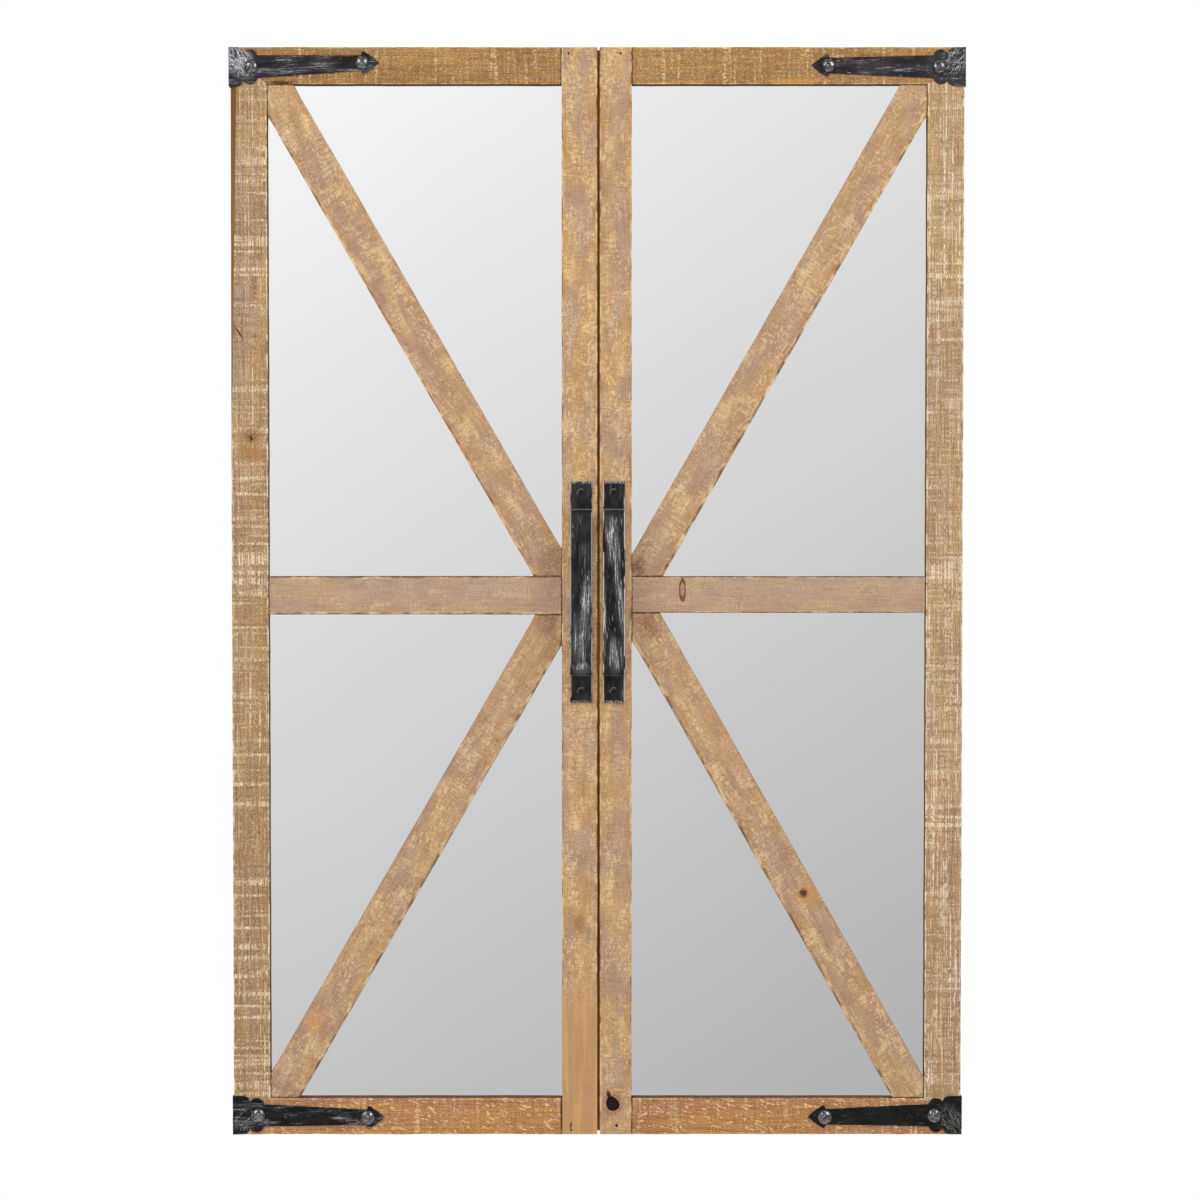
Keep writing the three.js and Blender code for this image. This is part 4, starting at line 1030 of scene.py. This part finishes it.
def pressedHardboard():    # brown wood fibre pressed smooth, with a fine mottled face
    material, tree = newMaterial("pressedHardboard")
    coords = addNode(tree, "ShaderNodeTexCoord", {}, {})
    fibre = addNode(tree, "ShaderNodeTexNoise", {}, {
        "Vector": coords.outputs["Object"], "Scale": 1 / (2.5 * mm), "Detail": 4.0,
    })
    cloud = addNode(tree, "ShaderNodeTexNoise", {}, {
        "Vector": coords.outputs["Object"], "Scale": 1 / (60 * mm), "Detail": 2.0,
    })
    colour = addNode(tree, *mixColour, [
        addNode(tree, *softStep, [fibre, 0.35, 0.7]), hexColour("#85613f"), hexColour("#6a4a2e"),
    ])
    colour = addNode(tree, *mixColour, [
        addNode(tree, *softStep, [cloud, 0.3, 0.7, 0.0, 0.3]), colour, hexColour("#94704c"),
    ])
    surface = addNode(tree, "ShaderNodeBsdfPrincipled", {}, {"Base Color": colour, "Roughness": 0.7})
    addNode(tree, "ShaderNodeOutputMaterial", {}, {"Surface": surface})
    return material


plainFinishes = {
    "mirror_glass": silveredGlass(),
    "hardboard": pressedHardboard(),
    "zinc_steel": platedSteel("zincPlatedSteel", "#c3c5c6", "#9a9c9e", 0.35, 5.0),
    "ferrite": platedSteel("ferriteCeramic", "#3a3a3c", "#2b2b2d", 0.6, 2.0),
    "black_iron": platedSteel("blackenedSteel", "#4a4b4d", "#2a2b2d", 0.4, 4.0),
}
screwHeadRadius = 3.6    # mm
for node, slot in slotOf.items():
    if slot in plainFinishes:
        finish = screwHeadWithPaintedGlint(node, screwHeadRadius) if "_pull_" in node else plainFinishes[slot]
        frame["nodes"][node].data.materials.clear()
        frame["nodes"][node].data.materials.append(finish)
print("plain nodes finished")


# studio

studio = {
    "cameraAt": (0.0012, -2.45, 0.0725),
    "cameraPitch": 1.84,       # degrees down
    "cameraYaw": 0.026,
    "lens": 86.2,
    "floorLevel": -1.45,
    "skyStrength": 0.43,
    "boxAt": (1.7, -1.9, 1.35),      # two soft boxes, high at either side of the camera
    "boxSize": (0.9, 1.4),
    "boxPower": 19.0,
    "frontAt": (0, -2.5, 0.35),      # beside the lens, so it reaches into the centre gap
    "frontSize": (0.3, 1.0),
    "frontPower": 21.0,
    "floorSize": (6, 7),
    "cardAt": (0, -4.5, 0.01),
    "cardSize": (2.6, 2.9),
    "cardMiddle": 223 / 255,         # tone at the middle of the card, and its change per metre
    "cardChange": (-14.3 / 255, 0, 21.9 / 255),
}


def areaLight(name, at, size, power):
    lightData = bpy.data.lights.new(name, "AREA")
    lightData.shape = "RECTANGLE"
    lightData.size, lightData.size_y = size
    lightData.energy = power
    light = bpy.data.objects.new(name, lightData)
    light.location = at
    scene.collection.objects.link(light)
    return light


def makeStudio():
    scene.view_settings.view_transform = "Standard"
    cameraData = bpy.data.cameras.new("camera")
    cameraData.lens = studio["lens"]
    camera = bpy.data.objects.new("camera", cameraData)
    camera.location = studio["cameraAt"]
    camera.rotation_euler = (math.radians(90 - studio["cameraPitch"]), 0, math.radians(-studio["cameraYaw"]))
    scene.collection.objects.link(camera)
    scene.camera = camera
    x, y, z = studio["boxAt"]
    for at in ((-x, y, z), (x, y, z)):
        box = areaLight("softBox", at, studio["boxSize"], studio["boxPower"])
        box.rotation_euler = (-Vector(at)).to_track_quat("-Z", "Y").to_euler()
    front = areaLight("frontFill", studio["frontAt"], studio["frontSize"], studio["frontPower"])
    front.rotation_euler = (math.pi / 2, 0, 0)
    front.visible_glossy = False
    world = bpy.data.worlds.new("paleRoom")
    scene.world = world
    world.use_nodes = True
    tree = world.node_tree
    tree.nodes.clear()
    path = addNode(tree, "ShaderNodeLightPath", {}, {})
    strength = addNode(tree, "ShaderNodeMapRange", {}, {
        "Value": path.outputs["Is Camera Ray"], "To Min": studio["skyStrength"], "To Max": 1.0,
    })
    sky = addNode(tree, "ShaderNodeBackground", {}, {"Color": (1, 1, 1, 1), "Strength": strength})
    addNode(tree, "ShaderNodeOutputWorld", {}, {"Surface": sky})


def makeFloor():
    bpy.ops.object.select_all(action="DESELECT")
    bpy.ops.mesh.primitive_plane_add(size=1)
    floor = bpy.context.object
    floor.name = "paleFloor"
    floor.scale = (*studio["floorSize"], 1)
    floor.location = (0, -1, studio["floorLevel"])
    bpy.ops.object.transform_apply(location=True, rotation=True, scale=True)
    material, tree = newMaterial("mattPaper")
    coords = addNode(tree, "ShaderNodeTexCoord", {}, {})
    tone = addNode(tree, "ShaderNodeTexNoise", {}, {"Vector": coords.outputs["Object"], "Scale": 0.5})
    surface = addNode(tree, "ShaderNodeBsdfPrincipled", {}, {
        "Base Color": addNode(tree, *mixColour, [tone, hexColour("#f2f2f1"), hexColour("#efefee")]),
        "Roughness": 0.9,
    })
    addNode(tree, "ShaderNodeOutputMaterial", {}, {"Surface": surface})
    floor.data.materials.append(material)


def makeCard():    # the pale card behind the camera that the mirror shows, darker to the lower right
    bpy.ops.object.select_all(action="DESELECT")
    bpy.ops.mesh.primitive_plane_add(size=1)
    card = bpy.context.object
    card.name = "reflectedCard"
    card.scale = (*studio["cardSize"], 1)
    card.rotation_euler = (math.pi / 2, 0, 0)
    card.location = studio["cardAt"]
    bpy.ops.object.transform_apply(location=True, rotation=True, scale=True)
    material, tree = newMaterial("gradedCard")
    coords = addNode(tree, "ShaderNodeTexCoord", {}, {})
    across = addNode(tree, "ShaderNodeVectorMath", {"operation": "DOT_PRODUCT"}, {
        0: coords.outputs["Object"], 1: studio["cardChange"],
    })
    shown = addNode(tree, "ShaderNodeMath", {"operation": "ADD"}, {
        0: across.outputs["Value"], 1: studio["cardMiddle"],
    })
    light = addNode(tree, "ShaderNodeMath", {"operation": "POWER"}, {0: shown, 1: 2.2})
    glow = addNode(tree, "ShaderNodeEmission", {}, {"Color": (1, 1, 1, 1), "Strength": light})
    addNode(tree, "ShaderNodeOutputMaterial", {}, {"Surface": glow})
    card.data.materials.append(material)
    card.visible_camera = False


makeStudio()
makeFloor()
makeCard()
print("studio ready")
